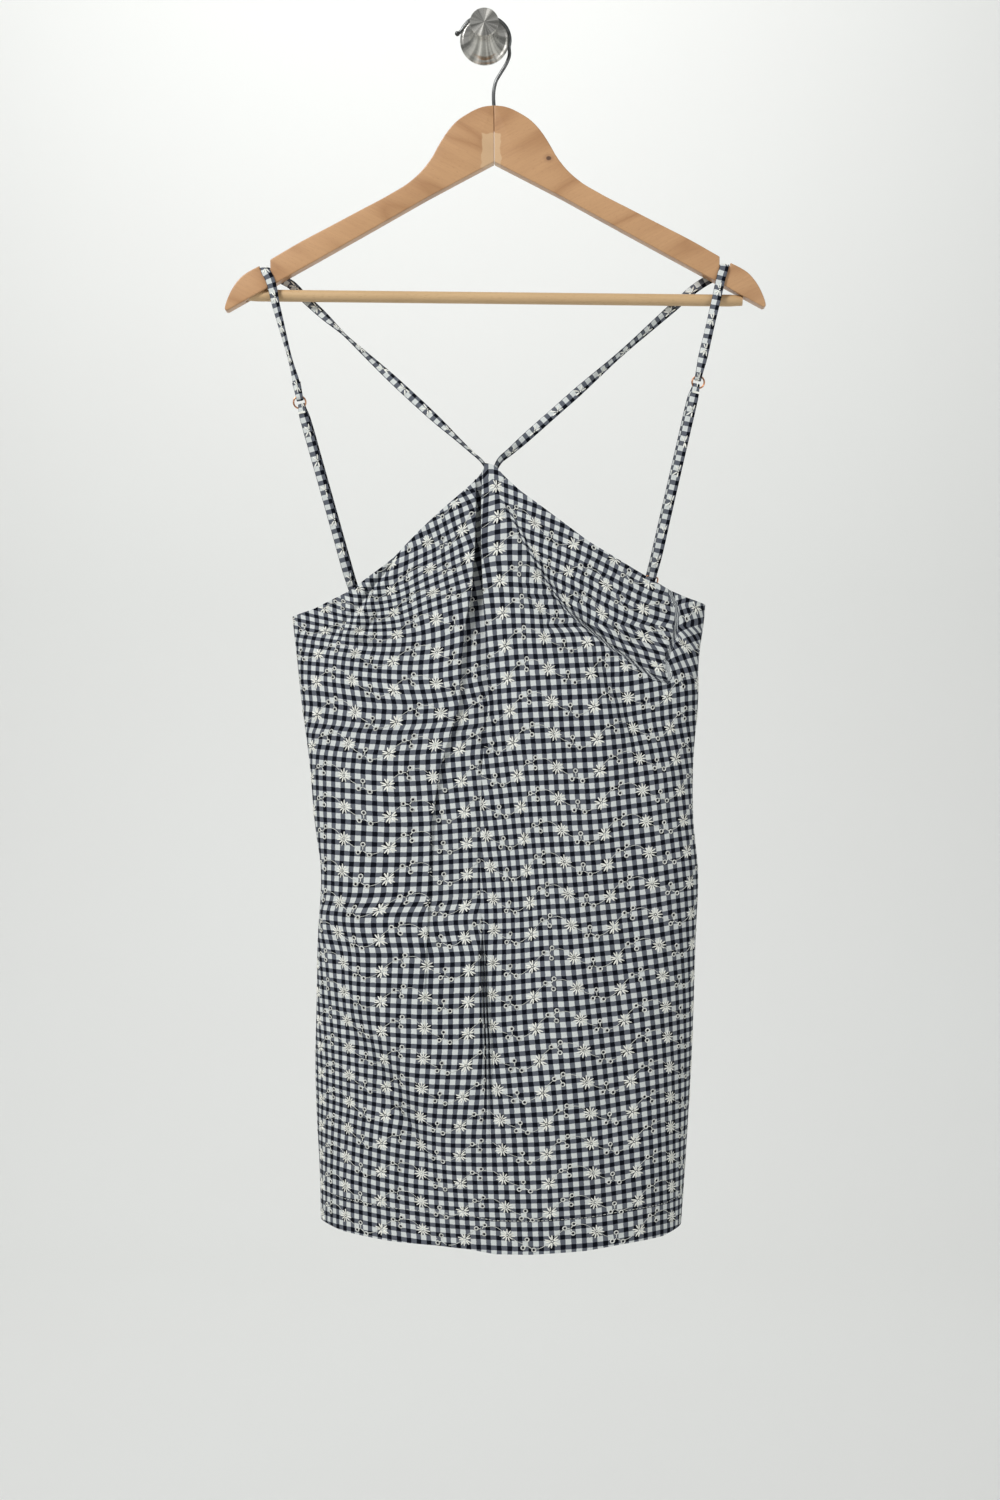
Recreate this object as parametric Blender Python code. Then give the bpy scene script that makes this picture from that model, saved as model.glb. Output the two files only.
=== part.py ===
"""Sundress hung by its straps from a wooden hanger, on a turned wall hook.

Metres, +Z up. The wall is the plane y = 0 and the dress hangs in front of it, towards -Y.
The origin is the centre of the wall plate's back face.
"""
import math

import bpy
import bmesh
import numpy as np

MM = 0.001

# Cloth and seams
CLOTH_WALL = 1.2 * MM
HEM_EXTRA = 0.9 * MM
HEM_DEPTH = 27 * MM
SEAM_GAP = 0.3 * MM
STRAP_WIDTH = 7.6 * MM
STRAP_WALL = 1.2 * MM

# Hanger
HANGER_CENTRE_X = 7.9 * MM
HANGER_Y = -35 * MM
HANGER_TOP = -64.3 * MM
HANGER_TILT = math.radians(0.38)
ARM_THICKNESS = 14 * MM
ARM_ROUNDING = 2.2 * MM
NOTCH_OUT = (185.0 * MM, 193.8 * MM)
NOTCH_DEPTH = 5.4 * MM
BAR_RADIUS = 4.9 * MM
BAR_LEFT = (-198.0 * MM, -219.7 * MM)
BAR_RIGHT = (213.0 * MM, -224.1 * MM)
HOOK_WIRE_RADIUS = 1.45 * MM

# Rings and sliders of the straps
RING_RADIUS = 5.0 * MM
RING_WIRE = 0.7 * MM
SLIDER_SIZE = (10.8 * MM, 9.0 * MM)
SLIDER_WIRE = 0.75 * MM

# Grid of the panels
ROWS_FRONT = 34
ROWS_BACK = 22
COLUMNS_LEFT = 15
COLUMNS_RIGHT = 17
COLUMNS_BACK = 22

# Sections of the dress, in millimetres: drop below the origin, edges at the left and right seams,
# and depths (y) of the seams, of the front's middle and of the back's middle.
SECTIONS = {
    "drop": (360, 420, 485, 521, 554, 603, 653, 694, 752, 801, 851, 900, 941, 998),
    "left": (-159, -159, -158.5, -154.5, -151, -144.5, -140,
             -134.8, -137.3, -138.2, -139.2, -137.8, -135.6, -134.4),
    "right": (183.3, 183.3, 181.8, 177, 176.4, 172.4, 172.3,
              176, 174, 172.6, 170.6, 167.8, 165.2, 161.2),
    "side": (-34, -34, -34, -36, -37, -38, -39, -40, -40, -40, -40, -40, -40, -40),
    "front": (-52, -58, -66, -71, -75, -79, -83, -87, -92, -97, -101, -105, -108, -111),
    "back": (-22, -21, -19, -18, -17, -16, -15, -14, -13.5, -13, -12.5, -12, -12, -12),
}

# Top edge of the front: places across and their drop, in millimetres.
NECKLINE = {
    "across": (-159, -140, -110, -76.5, -51.4, -33.8, -8.4, -1.9, 0.5, 8,
               16, 29, 44, 62, 85, 123.5, 153, 166, 183.3),
    "drop": (485.2, 479.4, 464.8, 440.2, 414, 397.6, 375.4, 367, 360, 361.5,
             370.4, 382.6, 393.6, 407, 424.3, 447.6, 464.6, 469.8, 475.4),
}

# Lower edges of the front and of the back, and the back's top edge, in millimetres.
HEM = {
    "across": (-135, -115, -74, -37, -11, 9, 37, 81, 110, 145, 162),
    "drop": (980, 984.6, 988.6, 990.2, 992.8, 996.4, 997, 995.2, 991.8, 989.4, 984.6),
}
BACK_TOP_SAG = 9 * MM
BACK_HEM_DROP = (980 * MM, 984.6 * MM, 9 * MM)

# Centre pleat, in millimetres: drop, its two folded edges, and how deep it is pressed in.
PLEAT = {
    "drop": (360, 375, 395, 430, 465, 492, 520, 560, 610, 655, 700, 760, 830, 998),
    "left": (-7.2, -7.0, -6.9, -7.8, -10.5, -15.5, -18.2, -20.4, -36, -42.6, -44.3, -46, -48, -50),
    "right": (-1.9, -1.6, -2.4, -2.4, -0.8, 0.6, 3.4, 3.2, -1.6, -2.6, -2.8, -1.4, 2.6, 4.6),
    "depth": (5, 6, 11, 14, 12.5, 10, 7, 5, 3.6, 2.8, 2.4, 1.6, 0.6, 0),
}
# Across the pleat: share of its width and of its depth.
PLEAT_SHAPE = ((0.0, 0.0), (0.22, 0.62), (0.42, 1.0), (0.74, 1.0), (0.9, 0.66), (1.0, 0.0))

# Extra columns where the top edge comes to its point, as shares of the right part's width.
POINT_PLACES = (0.013, 0.053)

# Large soft folds, in millimetres: start and end (across, drop), sideways bow, half width and depth.
# A positive depth is a trough, a negative one a ridge.
FOLD_COLUMNS = ("x0", "d0", "x1", "d1", "bow", "half", "depth")
FRONT_FOLDS = (
    (-137, 792, -38, 946, 9, 11, 6.5),
    (-118, 772, -22, 930, 9, 15, -4.5),
    (-133, 700, -112, 792, 2, 9, 5.0),
    (-112, 690, -92, 800, 2, 12, -2.5),
    (-103, 455, -131, 512, 0, 11, 3.2),
    (-84, 452, -122, 520, 0, 13, -3.0),
    (18, 400, 92, 504, -8, 11, 4.0),
    (34, 404, 108, 500, -8, 14, -3.5),
    (84, 520, 124, 612, 7, 12, 3.0),
    (6, 740, 8, 905, -5, 8, 2.6),
    (158, 800, 164, 884, 0, 7, 3.0),
    (60, 700, 66, 960, 6, 26, -3.0),
    (118, 640, 112, 930, 0, 22, 2.5),
)
BACK_FOLDS = (
    (132, 790, 40, 940, -9, 14, 5.0),
    (112, 770, 24, 925, -9, 16, -3.5),
    (-60, 520, -52, 930, 5, 20, 3.0),
    (8, 510, 6, 960, -4, 24, -3.0),
    (84, 530, 80, 770, 4, 18, 3.0),
)

# Half outline of the hanger in its own frame, in millimetres: distance out from the joint, drop
# below the crown. The top runs to the notch, the tip from the notch round to the underside.
ARM_TOP = {
    "out": (0, 9.5, 22.2, 31.6, 38.7, 45.1, 51, 58.5, 69.5, 86, 111, 136, 160, 185),
    "drop": (0, 1.2, 7, 13.6, 21.6, 31.4, 42, 52, 62.3, 72.6, 85.8, 98.9, 111.4, 125.8),
}
ARM_TIP = {
    "out": (193.8, 203, 210, 216.5, 221, 222.8, 220.8),
    "drop": (130.9, 135.6, 140.8, 149.4, 159, 166, 167.6),
}
ARM_UNDERSIDE = {
    "out": (180, 110, 55, 25),
    "drop": (144.9, 106.2, 75.4, 59.6),
}
ARM_MIDDLE_DROP = 46.6

# Wire hook, in millimetres, across and up: from inside the crown up and over the wall hook to its end.
HOOK_STEM = {
    "across": (7.9, 7.9, 7.9, 9.4, 13.8, 18.2, 20.7),
    "up": (-84, -66, -50, -43.4, -35.6, -28.2, -21),
}
HOOK_ARC_CENTRE = (1.6, -8.85)
HOOK_ARC_RADIUS = 19.5
HOOK_ARC_ANGLES = (-15, 105)
HOOK_TAIL = {
    "across": (-8.8, -13.4, -17, -20, -24.2),
    "up": (9.2, 6.6, 2.2, -2.2, -4.4),
}
STEM_HOLE_TOP = -50 * MM

# Turned stem of the wall hook, in millimetres: distance from the wall, radius.
STEM_PROFILE = {
    "depth": (4.8, 6, 9, 14, 22, 30, 38, 45, 50, 53.5, 56, 57),
    "radius": (19, 17, 14.2, 11.8, 9.9, 8.9, 8.6, 8.7, 9.6, 11.4, 11.8, 11.2),
}
PLATE_PROFILE = {
    "depth": (0, 0.8, 3.1, 4.5),
    "radius": (19.9, 20.5, 20.5, 18.9),
}

# The two straps differ a little, as the dress hangs slightly to one side. In millimetres.
SIDES = {
    "left": {
        "tip_end": (2.7, -376.5), "tip": (2.7, -366), "tip_lean": (1.2, -358.4), "tip_inset": 4.4,
        "bar_cross": (-150.1, -28.7, -219.8), "under_arm": (-161.7, -26.8, -208.4),
        "arm_back": (-173.0, -26.8, -203.8), "notch_x": -180.6,
        "front_top": (-177.8, -43.3, -205), "ring": (-152.0, -42.4, -309.0),
        "slider": (-107.0, -28.4, -470.5), "back_end": (-99.6, -499),
        "lean": math.radians(12.5), "offset": 1.3,
        "diagonal_twist": ((0.04, 78), (0.16, 60), (0.3, 12), (0.56, 8),
                           (0.66, 62), (0.74, 18), (0.82, 58), (0.9, 6)),
        "front_twist": ((0.3, 8), (0.58, 64), (0.8, 12)),
    },
    "right": {
        "tip_end": (8.7, -376.5), "tip": (8.6, -367), "tip_lean": (9.6, -357.6), "tip_inset": 1.4,
        "bar_cross": (161.8, -28.7, -223.6), "under_arm": (175.3, -26.8, -211.9),
        "arm_back": (187.6, -26.8, -204.4), "notch_x": 197.6,
        "front_top": (195.8, -43.3, -203), "ring": (176.0, -42.4, -292.5),
        "slider": (138.4, -28.4, -455.5), "back_end": (130.8, -497),
        "lean": math.radians(-12.6), "offset": -1.6,
        "diagonal_twist": ((0.04, 6), (0.3, 10), (0.56, 14), (0.66, 60), (0.76, 14), (0.9, 4)),
        "front_twist": ((0.3, 10), (0.6, 22), (0.8, 8)),
    },
}


def clear_scene():
    for obj in list(bpy.data.objects):
        bpy.data.objects.remove(obj, do_unlink=True)


def principled(name, colour, roughness, metallic=0.0):
    material = bpy.data.materials.new(name)
    material.use_nodes = True
    shader = material.node_tree.nodes["Principled BSDF"]
    shader.inputs["Base Color"].default_value = (*colour, 1.0)
    shader.inputs["Roughness"].default_value = roughness
    shader.inputs["Metallic"].default_value = metallic
    return material


def smooth(x, knots, values):
    """A soft curve through the knots, level or even past the ends."""
    knots = np.asarray(knots, dtype=float)
    values = np.asarray(values, dtype=float)
    slopes = np.gradient(values, knots)
    x = np.clip(x, knots[0], knots[-1])
    i = np.clip(np.searchsorted(knots, x) - 1, 0, len(knots) - 2)
    step = knots[i + 1] - knots[i]
    t = (x - knots[i]) / step
    start = (1 + 2 * t) * (1 - t) ** 2 * values[i] + t * (1 - t) ** 2 * step * slopes[i]
    end = t * t * (3 - 2 * t) * values[i + 1] + t * t * (t - 1) * step * slopes[i + 1]
    return start + end


def section(column, drop):
    return smooth(drop, SECTIONS["drop"], SECTIONS[column])


def pleat(column, drop):
    return np.interp(drop, PLEAT["drop"], PLEAT[column])


def fold_relief(x, drop, folds):
    """How far the soft folds push the cloth in, in millimetres."""
    relief = np.zeros_like(x)
    for row in folds:
        fold = dict(zip(FOLD_COLUMNS, row))
        dx, dd = fold["x1"] - fold["x0"], fold["d1"] - fold["d0"]
        length = math.hypot(dx, dd)
        along = ((x - fold["x0"]) * dx + (drop - fold["d0"]) * dd) / length ** 2
        side = ((x - fold["x0"]) * dd - (drop - fold["d0"]) * dx) / length
        inside = np.clip(along, 0, 1)
        side = side - fold["bow"] * np.sin(math.pi * inside)
        taper = np.sin(math.pi * np.clip((along + 0.12) / 1.24, 0, 1))
        relief += fold["depth"] * taper * np.exp(-(side / fold["half"]) ** 2)
    return relief


def panel_depth(x, drop, face):
    """Depth of a panel's outer side: a flattened round from seam to seam, with its folds."""
    left, right = section("left", drop), section("right", drop)
    across = np.clip(np.abs((2 * x - left - right) / (right - left)), 0, 1)
    bulge = (1 - across ** 2.3) ** 0.56
    side = section("side", drop)
    depth = side + (section(face, drop) - side) * bulge
    inner = np.clip(bulge * 1.6 - 0.25, 0, 1)
    if face == "front":
        return depth + fold_relief(x, drop, FRONT_FOLDS) * inner
    return depth - fold_relief(x, drop, BACK_FOLDS) * inner


def seam_spacing(count):
    """Places from the seam inwards, close together where the cloth turns round the side."""
    return 1 - np.cos(np.linspace(0, 1, count + 1) * math.pi / 2)


def front_columns():
    """Each column's kind and its place within the left part, the pleat or the right part."""
    columns = [("left", g) for g in seam_spacing(COLUMNS_LEFT)]
    columns += [("pleat", q) for q, _ in PLEAT_SHAPE[1:-1]]
    inner = [1 - g for g in reversed(seam_spacing(COLUMNS_RIGHT))]
    columns += [("right", g) for g in sorted([*inner, *POINT_PLACES])]
    return columns


def column_x(kind, place, drop):
    left, right = section("left", drop), section("right", drop)
    fold_left, fold_right = pleat("left", drop), pleat("right", drop)
    if kind == "left":
        return left + (fold_left - left) * place
    if kind == "pleat":
        return fold_left + (fold_right - fold_left) * place
    return fold_right + (right - fold_right) * place


def column_end(kind, place, edge, drop):
    """Drop at which a column meets a table's edge line."""
    for _ in range(8):
        x = column_x(kind, place, drop)
        drop = float(np.interp(x, edge["across"], edge["drop"]))
    return drop


def front_grid():
    columns = front_columns()
    grid = np.zeros((ROWS_FRONT + 1, len(columns), 3))
    share_x, share_depth = zip(*PLEAT_SHAPE)
    for j, (kind, place) in enumerate(columns):
        top = column_end(kind, place, NECKLINE, 420.0)
        bottom = column_end(kind, place, HEM, 990.0)
        drop = top + (bottom - top) * np.linspace(0, 1, ROWS_FRONT + 1)
        x = column_x(kind, place, drop)
        y = panel_depth(x, drop, "front")
        if kind == "pleat":
            y = y + pleat("depth", drop) * np.interp(place, share_x, share_depth)
        grid[:, j] = np.stack([x, y, -drop], axis=1)
    grid[:, :, 1] -= SEAM_GAP / MM * 0.6
    return grid * MM


def back_grid():
    turn = np.linspace(0, 1, COLUMNS_BACK + 1)
    grid = np.zeros((ROWS_BACK + 1, COLUMNS_BACK + 1, 3))
    top_left, top_right = NECKLINE["drop"][0], NECKLINE["drop"][-1]
    low_left, low_right, low_sag = (value / MM for value in BACK_HEM_DROP)
    for j, t in enumerate(turn):
        place = (1 - math.cos(math.pi * t)) / 2
        arch = math.sin(math.pi * t)
        top = top_left + (top_right - top_left) * place + BACK_TOP_SAG / MM * arch
        bottom = low_left + (low_right - low_left) * place + low_sag * arch
        drop = top + (bottom - top) * np.linspace(0, 1, ROWS_BACK + 1)
        left, right = section("left", drop), section("right", drop)
        x = left + (right - left) * place
        grid[:, j] = np.stack([x, panel_depth(x, drop, "back"), -drop], axis=1)
    grid[:, :, 1] += SEAM_GAP / MM * 0.6
    return grid * MM


def grid_normals(grid):
    """Unit normals of a grid of points, pointing to the outer side."""
    across = np.gradient(grid, axis=1)
    down = np.gradient(grid, axis=0)
    normals = np.cross(down, across)
    normals /= np.linalg.norm(normals, axis=2, keepdims=True)
    return normals


def wall_from_grid(name, grid, outward, material):
    """A closed cloth wall: the grid is its outer side, and the hem is thicker."""
    normals = grid_normals(grid)
    if np.mean(normals[:, :, 1]) * outward < 0:
        normals = -normals
    for column in (0, -1):
        normals[:, column, 1:] = 0
        normals[:, column, 0] = -1 if column == 0 else 1
    height_over_hem = grid[:, :, 2] - grid[-1:, :, 2]
    wall = CLOTH_WALL + HEM_EXTRA * np.clip((HEM_DEPTH - height_over_hem) / (6 * MM), 0, 1)
    inner = grid - normals * wall[:, :, None]
    rows, cols = grid.shape[:2]
    points = np.concatenate([grid.reshape(-1, 3), inner.reshape(-1, 3)])
    layer = rows * cols

    def index(i, j, side):
        return side * layer + i * cols + j

    faces = []
    for i in range(rows - 1):
        for j in range(cols - 1):
            for side in (0, 1):
                a, b = index(i, j, side), index(i, j + 1, side)
                c, d = index(i + 1, j + 1, side), index(i + 1, j, side)
                if side == 0:
                    faces += [(a, c, b), (a, d, c)]
                else:
                    faces += [(a, b, c), (a, c, d)]
    border = [(0, j) for j in range(cols - 1)]
    border += [(i, cols - 1) for i in range(rows - 1)]
    border += [(rows - 1, j) for j in range(cols - 1, 0, -1)]
    border += [(i, 0) for i in range(rows - 1, 0, -1)]
    for (i, j), (m, n) in zip(border, border[1:] + border[:1]):
        a, b = index(i, j, 0), index(m, n, 0)
        c, d = index(m, n, 1), index(i, j, 1)
        faces += [(a, b, c), (a, c, d)]
    return mesh_object(name, points, faces, material)


def mesh_object(name, points, faces, material, smooth_angle=35):
    mesh = bpy.data.meshes.new(name)
    mesh.from_pydata([tuple(p) for p in points], [], [tuple(f) for f in faces])
    work = bmesh.new()
    work.from_mesh(mesh)
    bmesh.ops.recalc_face_normals(work, faces=work.faces)
    if work.calc_volume(signed=True) < 0:
        bmesh.ops.reverse_faces(work, faces=work.faces)
    work.to_mesh(mesh)
    work.free()
    mesh.shade_smooth()
    mesh.set_sharp_from_angle(angle=math.radians(smooth_angle))
    mesh.materials.append(material)
    obj = bpy.data.objects.new(name, mesh)
    bpy.context.scene.collection.objects.link(obj)
    return obj


def ribbon_path(stops, per_span=3):
    """Points of a soft curve through the stops, whose rows are x, y, z, width and twist."""
    stops = np.asarray(stops, dtype=float)
    along = np.concatenate([[0], np.cumsum(np.linalg.norm(np.diff(stops[:, :3], axis=0), axis=1))])
    places = [along[0]]
    for a, b in zip(along[:-1], along[1:]):
        steps = 1 if b - a < 3 else min(per_span, max(2, round((b - a) / 9)))
        places += list(a + (b - a) * np.arange(1, steps + 1) / steps)
    return np.stack([smooth(np.array(places), along, stops[:, k]) for k in range(5)], axis=1)


def ribbon(name, stops, wall, material):
    """A flat band along a path. Its width lies along X, turned about the path by the twist."""
    path = ribbon_path(stops)
    centre = path[:, :3] * MM
    tangent = np.gradient(centre, axis=0)
    tangent /= np.linalg.norm(tangent, axis=1, keepdims=True)
    sideways = np.array([1.0, 0, 0]) - tangent * tangent[:, :1]
    sideways /= np.linalg.norm(sideways, axis=1, keepdims=True)
    flat = np.cross(tangent, sideways)
    twist = np.radians(path[:, 4])[:, None]
    wide = sideways * np.cos(twist) + flat * np.sin(twist)
    thin = np.cross(tangent, wide)
    half = path[:, 3:4] * MM / 2
    corners = [centre + wide * half * a + thin * wall / 2 * b
               for a, b in ((-1, -1), (1, -1), (1, 1), (-1, 1))]
    points = np.stack(corners, axis=1).reshape(-1, 3)
    faces = [(0, 1, 2), (0, 2, 3)]
    last = len(points) - 4
    faces += [(last, last + 2, last + 1), (last, last + 3, last + 2)]
    for i in range(0, last, 4):
        for k in range(4):
            a, b = i + k, i + (k + 1) % 4
            faces += [(a, b + 4, b), (a, a + 4, b + 4)]
    return mesh_object(name, points, faces, material)


def ring_turn(centre, lean, end, offset=0.0):
    """Stops of a band that loops round the ring's wire: its upper one (end 1) or lower one (end -1)."""
    up = np.array([-math.sin(lean), 0, math.cos(lean)])
    wire = np.array(centre) + up * end * RING_RADIUS / MM
    turn = 2.4
    stops = []
    for angle in (0, 45, 90, 135, 180):
        depth = -turn * math.cos(math.radians(angle))
        inwards = -end * turn * math.sin(math.radians(angle))
        level = -math.degrees(lean) * math.sin(math.radians(angle))
        stops.append((*(wire + up * inwards + np.array([offset * angle / 180, depth, 0])), 4.2, level))
    return stops


def behind_front(x, z, inset):
    """A point behind the front's inner side, in millimetres."""
    depth = float(panel_depth(np.array([x]), np.array([-z]), "front")[0])
    return np.array([x, depth + CLOTH_WALL / MM + SEAM_GAP / MM + inset, z])


def inside_back(x, z):
    """A point just inside the back, half a strap's wall clear of it, in millimetres."""
    depth = float(panel_depth(np.array([x]), np.array([-z]), "back")[0])
    return np.array([x, depth - (CLOTH_WALL + SEAM_GAP + STRAP_WALL / 2) / MM - 0.35, z])


def upper_strap(name, s, material):
    """From behind the front's point, behind bar and arm, over the notch and down round the ring."""
    width = STRAP_WIDTH / MM
    end, mid, tip = (behind_front(*s[key], s["tip_inset"]) for key in ("tip_end", "tip", "tip_lean"))
    bar = np.array(s["bar_cross"])
    start_twist = s["diagonal_twist"][0][1]
    stops = [(*end, width - 1.2, start_twist), (*mid, width - 1.2, start_twist)]
    for share, twist in s["diagonal_twist"]:
        stops.append((*(tip + (bar - tip) * share), width, twist))
    sign = 1 if s["notch_x"] > 0 else -1
    for key in ("bar_cross", "under_arm", "arm_back"):
        stops.append((*s[key], width, 0))
    floor = notch_floor(sign) / MM
    over = floor + SEAM_GAP / MM + STRAP_WALL / MM / 2 + 0.2
    x = s["notch_x"]
    back = HANGER_Y / MM + ARM_THICKNESS / MM / 2
    front = HANGER_Y / MM - ARM_THICKNESS / MM / 2
    stops += [(x - sign * 1.6, back + 1.2, floor - 5.0, width, 0), (x, back + 1.1, floor - 1.4, width, 0),
              (x, back + 0.4, over - 0.5, width, 0), (x, back - 1.6, over, width, 0),
              (x, front + 1.6, over, width, 0), (x, front - 0.5, over - 0.5, width, 0),
              (x - sign * 0.3, front - 1.1, floor - 1.4, width, 0)]
    stops.append((*s["front_top"], width, 0))
    top, ring = np.array(s["front_top"]), np.array(s["ring"])
    up = np.array([-math.sin(s["lean"]), 0, math.cos(s["lean"])])
    low = ring + up * (RING_RADIUS / MM + 14) + np.array([0, -0.9, 0])
    for share, twist in s["front_twist"]:
        stops.append((*(top + (low - top) * share), width, twist))
    stops.append((*low, width, 0))
    stops.append((*(ring + up * (RING_RADIUS / MM + 5) + np.array([0, -1.6, 0])), 5.0, 0))
    stops += ring_turn(s["ring"], s["lean"], 1)
    stops.append((*(ring + up * (RING_RADIUS / MM + 5) + np.array([0, 1.6, 0])), 5.0, 0))
    stops.append((*(low + up * -2 + np.array([0, 1.9, 0])), width - 0.6, 0))
    return ribbon(name, stops, STRAP_WALL, material)


def slider_lean(s):
    """How far the lower strap leans from upright where its slider sits."""
    return math.atan2(s["slider"][0] - s["ring"][0], s["ring"][2] - s["slider"][2])


def lower_strap(name, s, material):
    """Doubled: from the slider up round the ring and down behind it to the back's top edge."""
    width = STRAP_WIDTH / MM
    ring, slider = np.array(s["ring"]), np.array(s["slider"])
    end = inside_back(*s["back_end"])
    up = np.array([-math.sin(s["lean"]), 0, math.cos(s["lean"])])
    under = ring - up * (RING_RADIUS / MM + 5)
    run = under - slider
    slope = run / np.linalg.norm(run)
    near, far = np.array([0, -1.4, 0]), np.array([s["offset"], 1.4, 0])
    bar_turn, narrow = 1.9, width - 1.8
    level = math.degrees(slider_lean(s))
    stops = [(*(slider + slope * 9 + np.array([0, 0.5, 0])), narrow, 0),
             (*(slider + slope * 5.4 + np.array([0, bar_turn - 0.2, 0])), narrow, 0),
             (*(slider + np.array([0, bar_turn, 0])), narrow, 0),
             (*(slider - slope * bar_turn * 0.7 + np.array([0, bar_turn * 0.7, 0])), narrow, level * 0.7),
             (*(slider - slope * bar_turn), narrow, level),
             (*(slider - slope * bar_turn * 0.7 - np.array([0, bar_turn * 0.7, 0])), narrow, level * 0.7),
             (*(slider + np.array([0, -bar_turn, 0])), narrow, 0),
             (*(slider + slope * 5 + near), narrow + 0.4, 0)]
    for share in (0.12, 0.35, 0.6, 0.82, 0.93):
        stops.append((*(slider + run * share + near), width, 0))
    stops.append((*(under + np.array([0, -1.8, 0])), 5.4, 0))
    stops += ring_turn(s["ring"], s["lean"], -1, s["offset"] * 0.5)
    stops.append((*(under + np.array([s["offset"] * 0.8, 1.8, 0])), 5.6, 0))
    for share in (0.93, 0.82, 0.6, 0.35, 0.12):
        stops.append((*(slider + run * share + far), width, 0))
    stops.append((*(slider + np.array([s["offset"], 3.6, 0])), width, 0))
    stops.append((*(slider * 0.45 + end * 0.55 + np.array([0, 1.0, 0])), width, 0))
    stops.append((*(end + np.array([0, 0, 9])), width, 0))
    stops.append((*end, width, 0))
    return ribbon(name, stops, STRAP_WALL, material)


def ring_object(name, s, material):
    bpy.ops.mesh.primitive_torus_add(major_segments=18, minor_segments=6, major_radius=RING_RADIUS,
                                     minor_radius=RING_WIRE)
    ring = bpy.context.object
    ring.name = name
    ring.rotation_euler = (math.pi / 2, 0, 0)
    ring.location = [value * MM for value in s["ring"]]
    ring.data.shade_smooth()
    ring.data.materials.append(material)
    return ring


def slider_object(name, s, material):
    """A small frame with a middle bar, bent from wire and cast in one piece."""
    width, height = SLIDER_SIZE
    wire = SLIDER_WIRE
    work = bmesh.new()
    xs = (-width / 2, -width / 2 + 2 * wire, width / 2 - 2 * wire, width / 2)
    zs = (-height / 2, -height / 2 + 2 * wire, -wire * 0.7, wire * 0.7, height / 2 - 2 * wire, height / 2)
    grid = [[work.verts.new((x, 0, z)) for x in xs] for z in zs]
    for r in range(5):
        for c in range(3):
            window = c == 1 and r in (1, 3)
            if not window:
                work.faces.new((grid[r][c], grid[r][c + 1], grid[r + 1][c + 1], grid[r + 1][c]))
    block = bmesh.ops.extrude_face_region(work, geom=work.faces[:])
    moved = [item for item in block["geom"] if isinstance(item, bmesh.types.BMVert)]
    bmesh.ops.translate(work, verts=moved, vec=(0, 1.3 * wire, 0))
    bmesh.ops.translate(work, verts=work.verts, vec=(0, -0.65 * wire, 0))
    bmesh.ops.recalc_face_normals(work, faces=work.faces)
    mesh = bpy.data.meshes.new(name)
    work.to_mesh(mesh)
    work.free()
    mesh.materials.append(material)
    slider = bpy.data.objects.new(name, mesh)
    bpy.context.scene.collection.objects.link(slider)
    slider.location = [value * MM for value in s["slider"]]
    slider.rotation_euler = (0, -slider_lean(s), 0)
    return slider


def hanger_place(out, drop, sign):
    """A point of the hanger's own frame in the world, in metres."""
    x, z = sign * out, -drop
    cos, sin = math.cos(HANGER_TILT), math.sin(HANGER_TILT)
    return HANGER_CENTRE_X + x * cos - z * sin, HANGER_TOP + x * sin + z * cos


def notch_floor(sign):
    """Height of the notch's level floor."""
    middle = (NOTCH_OUT[0] + NOTCH_OUT[1]) / 2
    return hanger_place(middle, notch_drop(), sign)[1]


def notch_drop():
    """Drop of the notch's floor below the crown."""
    return (ARM_TOP["drop"][-1] + ARM_TIP["drop"][0]) / 2 * MM + NOTCH_DEPTH


def arm_outline(sign):
    middle_gap = SEAM_GAP / 2
    outs = np.linspace(0, ARM_TOP["out"][-1], 25)
    drops = smooth(outs, ARM_TOP["out"], ARM_TOP["drop"])
    outline = [(max(out * MM, middle_gap), drop * MM) for out, drop in zip(outs, drops)]
    outline += [(out, notch_drop()) for out in NOTCH_OUT]
    for table in (ARM_TIP, ARM_UNDERSIDE):
        outline += [(out * MM, drop * MM) for out, drop in zip(table["out"], table["drop"])]
    outline.append((middle_gap, ARM_MIDDLE_DROP * MM))
    return [hanger_place(out, drop, sign) for out, drop in outline]


def cylinder_between(start, end, radius, sides=16):
    """Points and faces of a closed round bar from start to end, in metres."""
    start, end = np.array(start), np.array(end)
    axis = (end - start) / np.linalg.norm(end - start)
    first = np.cross(axis, [0, 1.0, 0]) if abs(axis[1]) < 0.9 else np.cross(axis, [1.0, 0, 0])
    first /= np.linalg.norm(first)
    second = np.cross(axis, first)
    angles = np.arange(sides) * 2 * math.pi / sides
    circle = radius * (np.cos(angles)[:, None] * first + np.sin(angles)[:, None] * second)
    points = np.concatenate([start + circle, end + circle])
    faces = [tuple(range(sides)), tuple(range(2 * sides - 1, sides - 1, -1))]
    faces += [(k, (k + 1) % sides, sides + (k + 1) % sides, sides + k) for k in range(sides)]
    return points, faces


def hidden_cutter(name, start, end, radius):
    points, faces = cylinder_between(start, end, radius)
    cutter = mesh_object(name, points, faces, principled("cutter", (0.5, 0.5, 0.5), 0.5))
    cutter.hide_render = True
    cutter.display_type = "WIRE"
    return cutter


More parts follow.
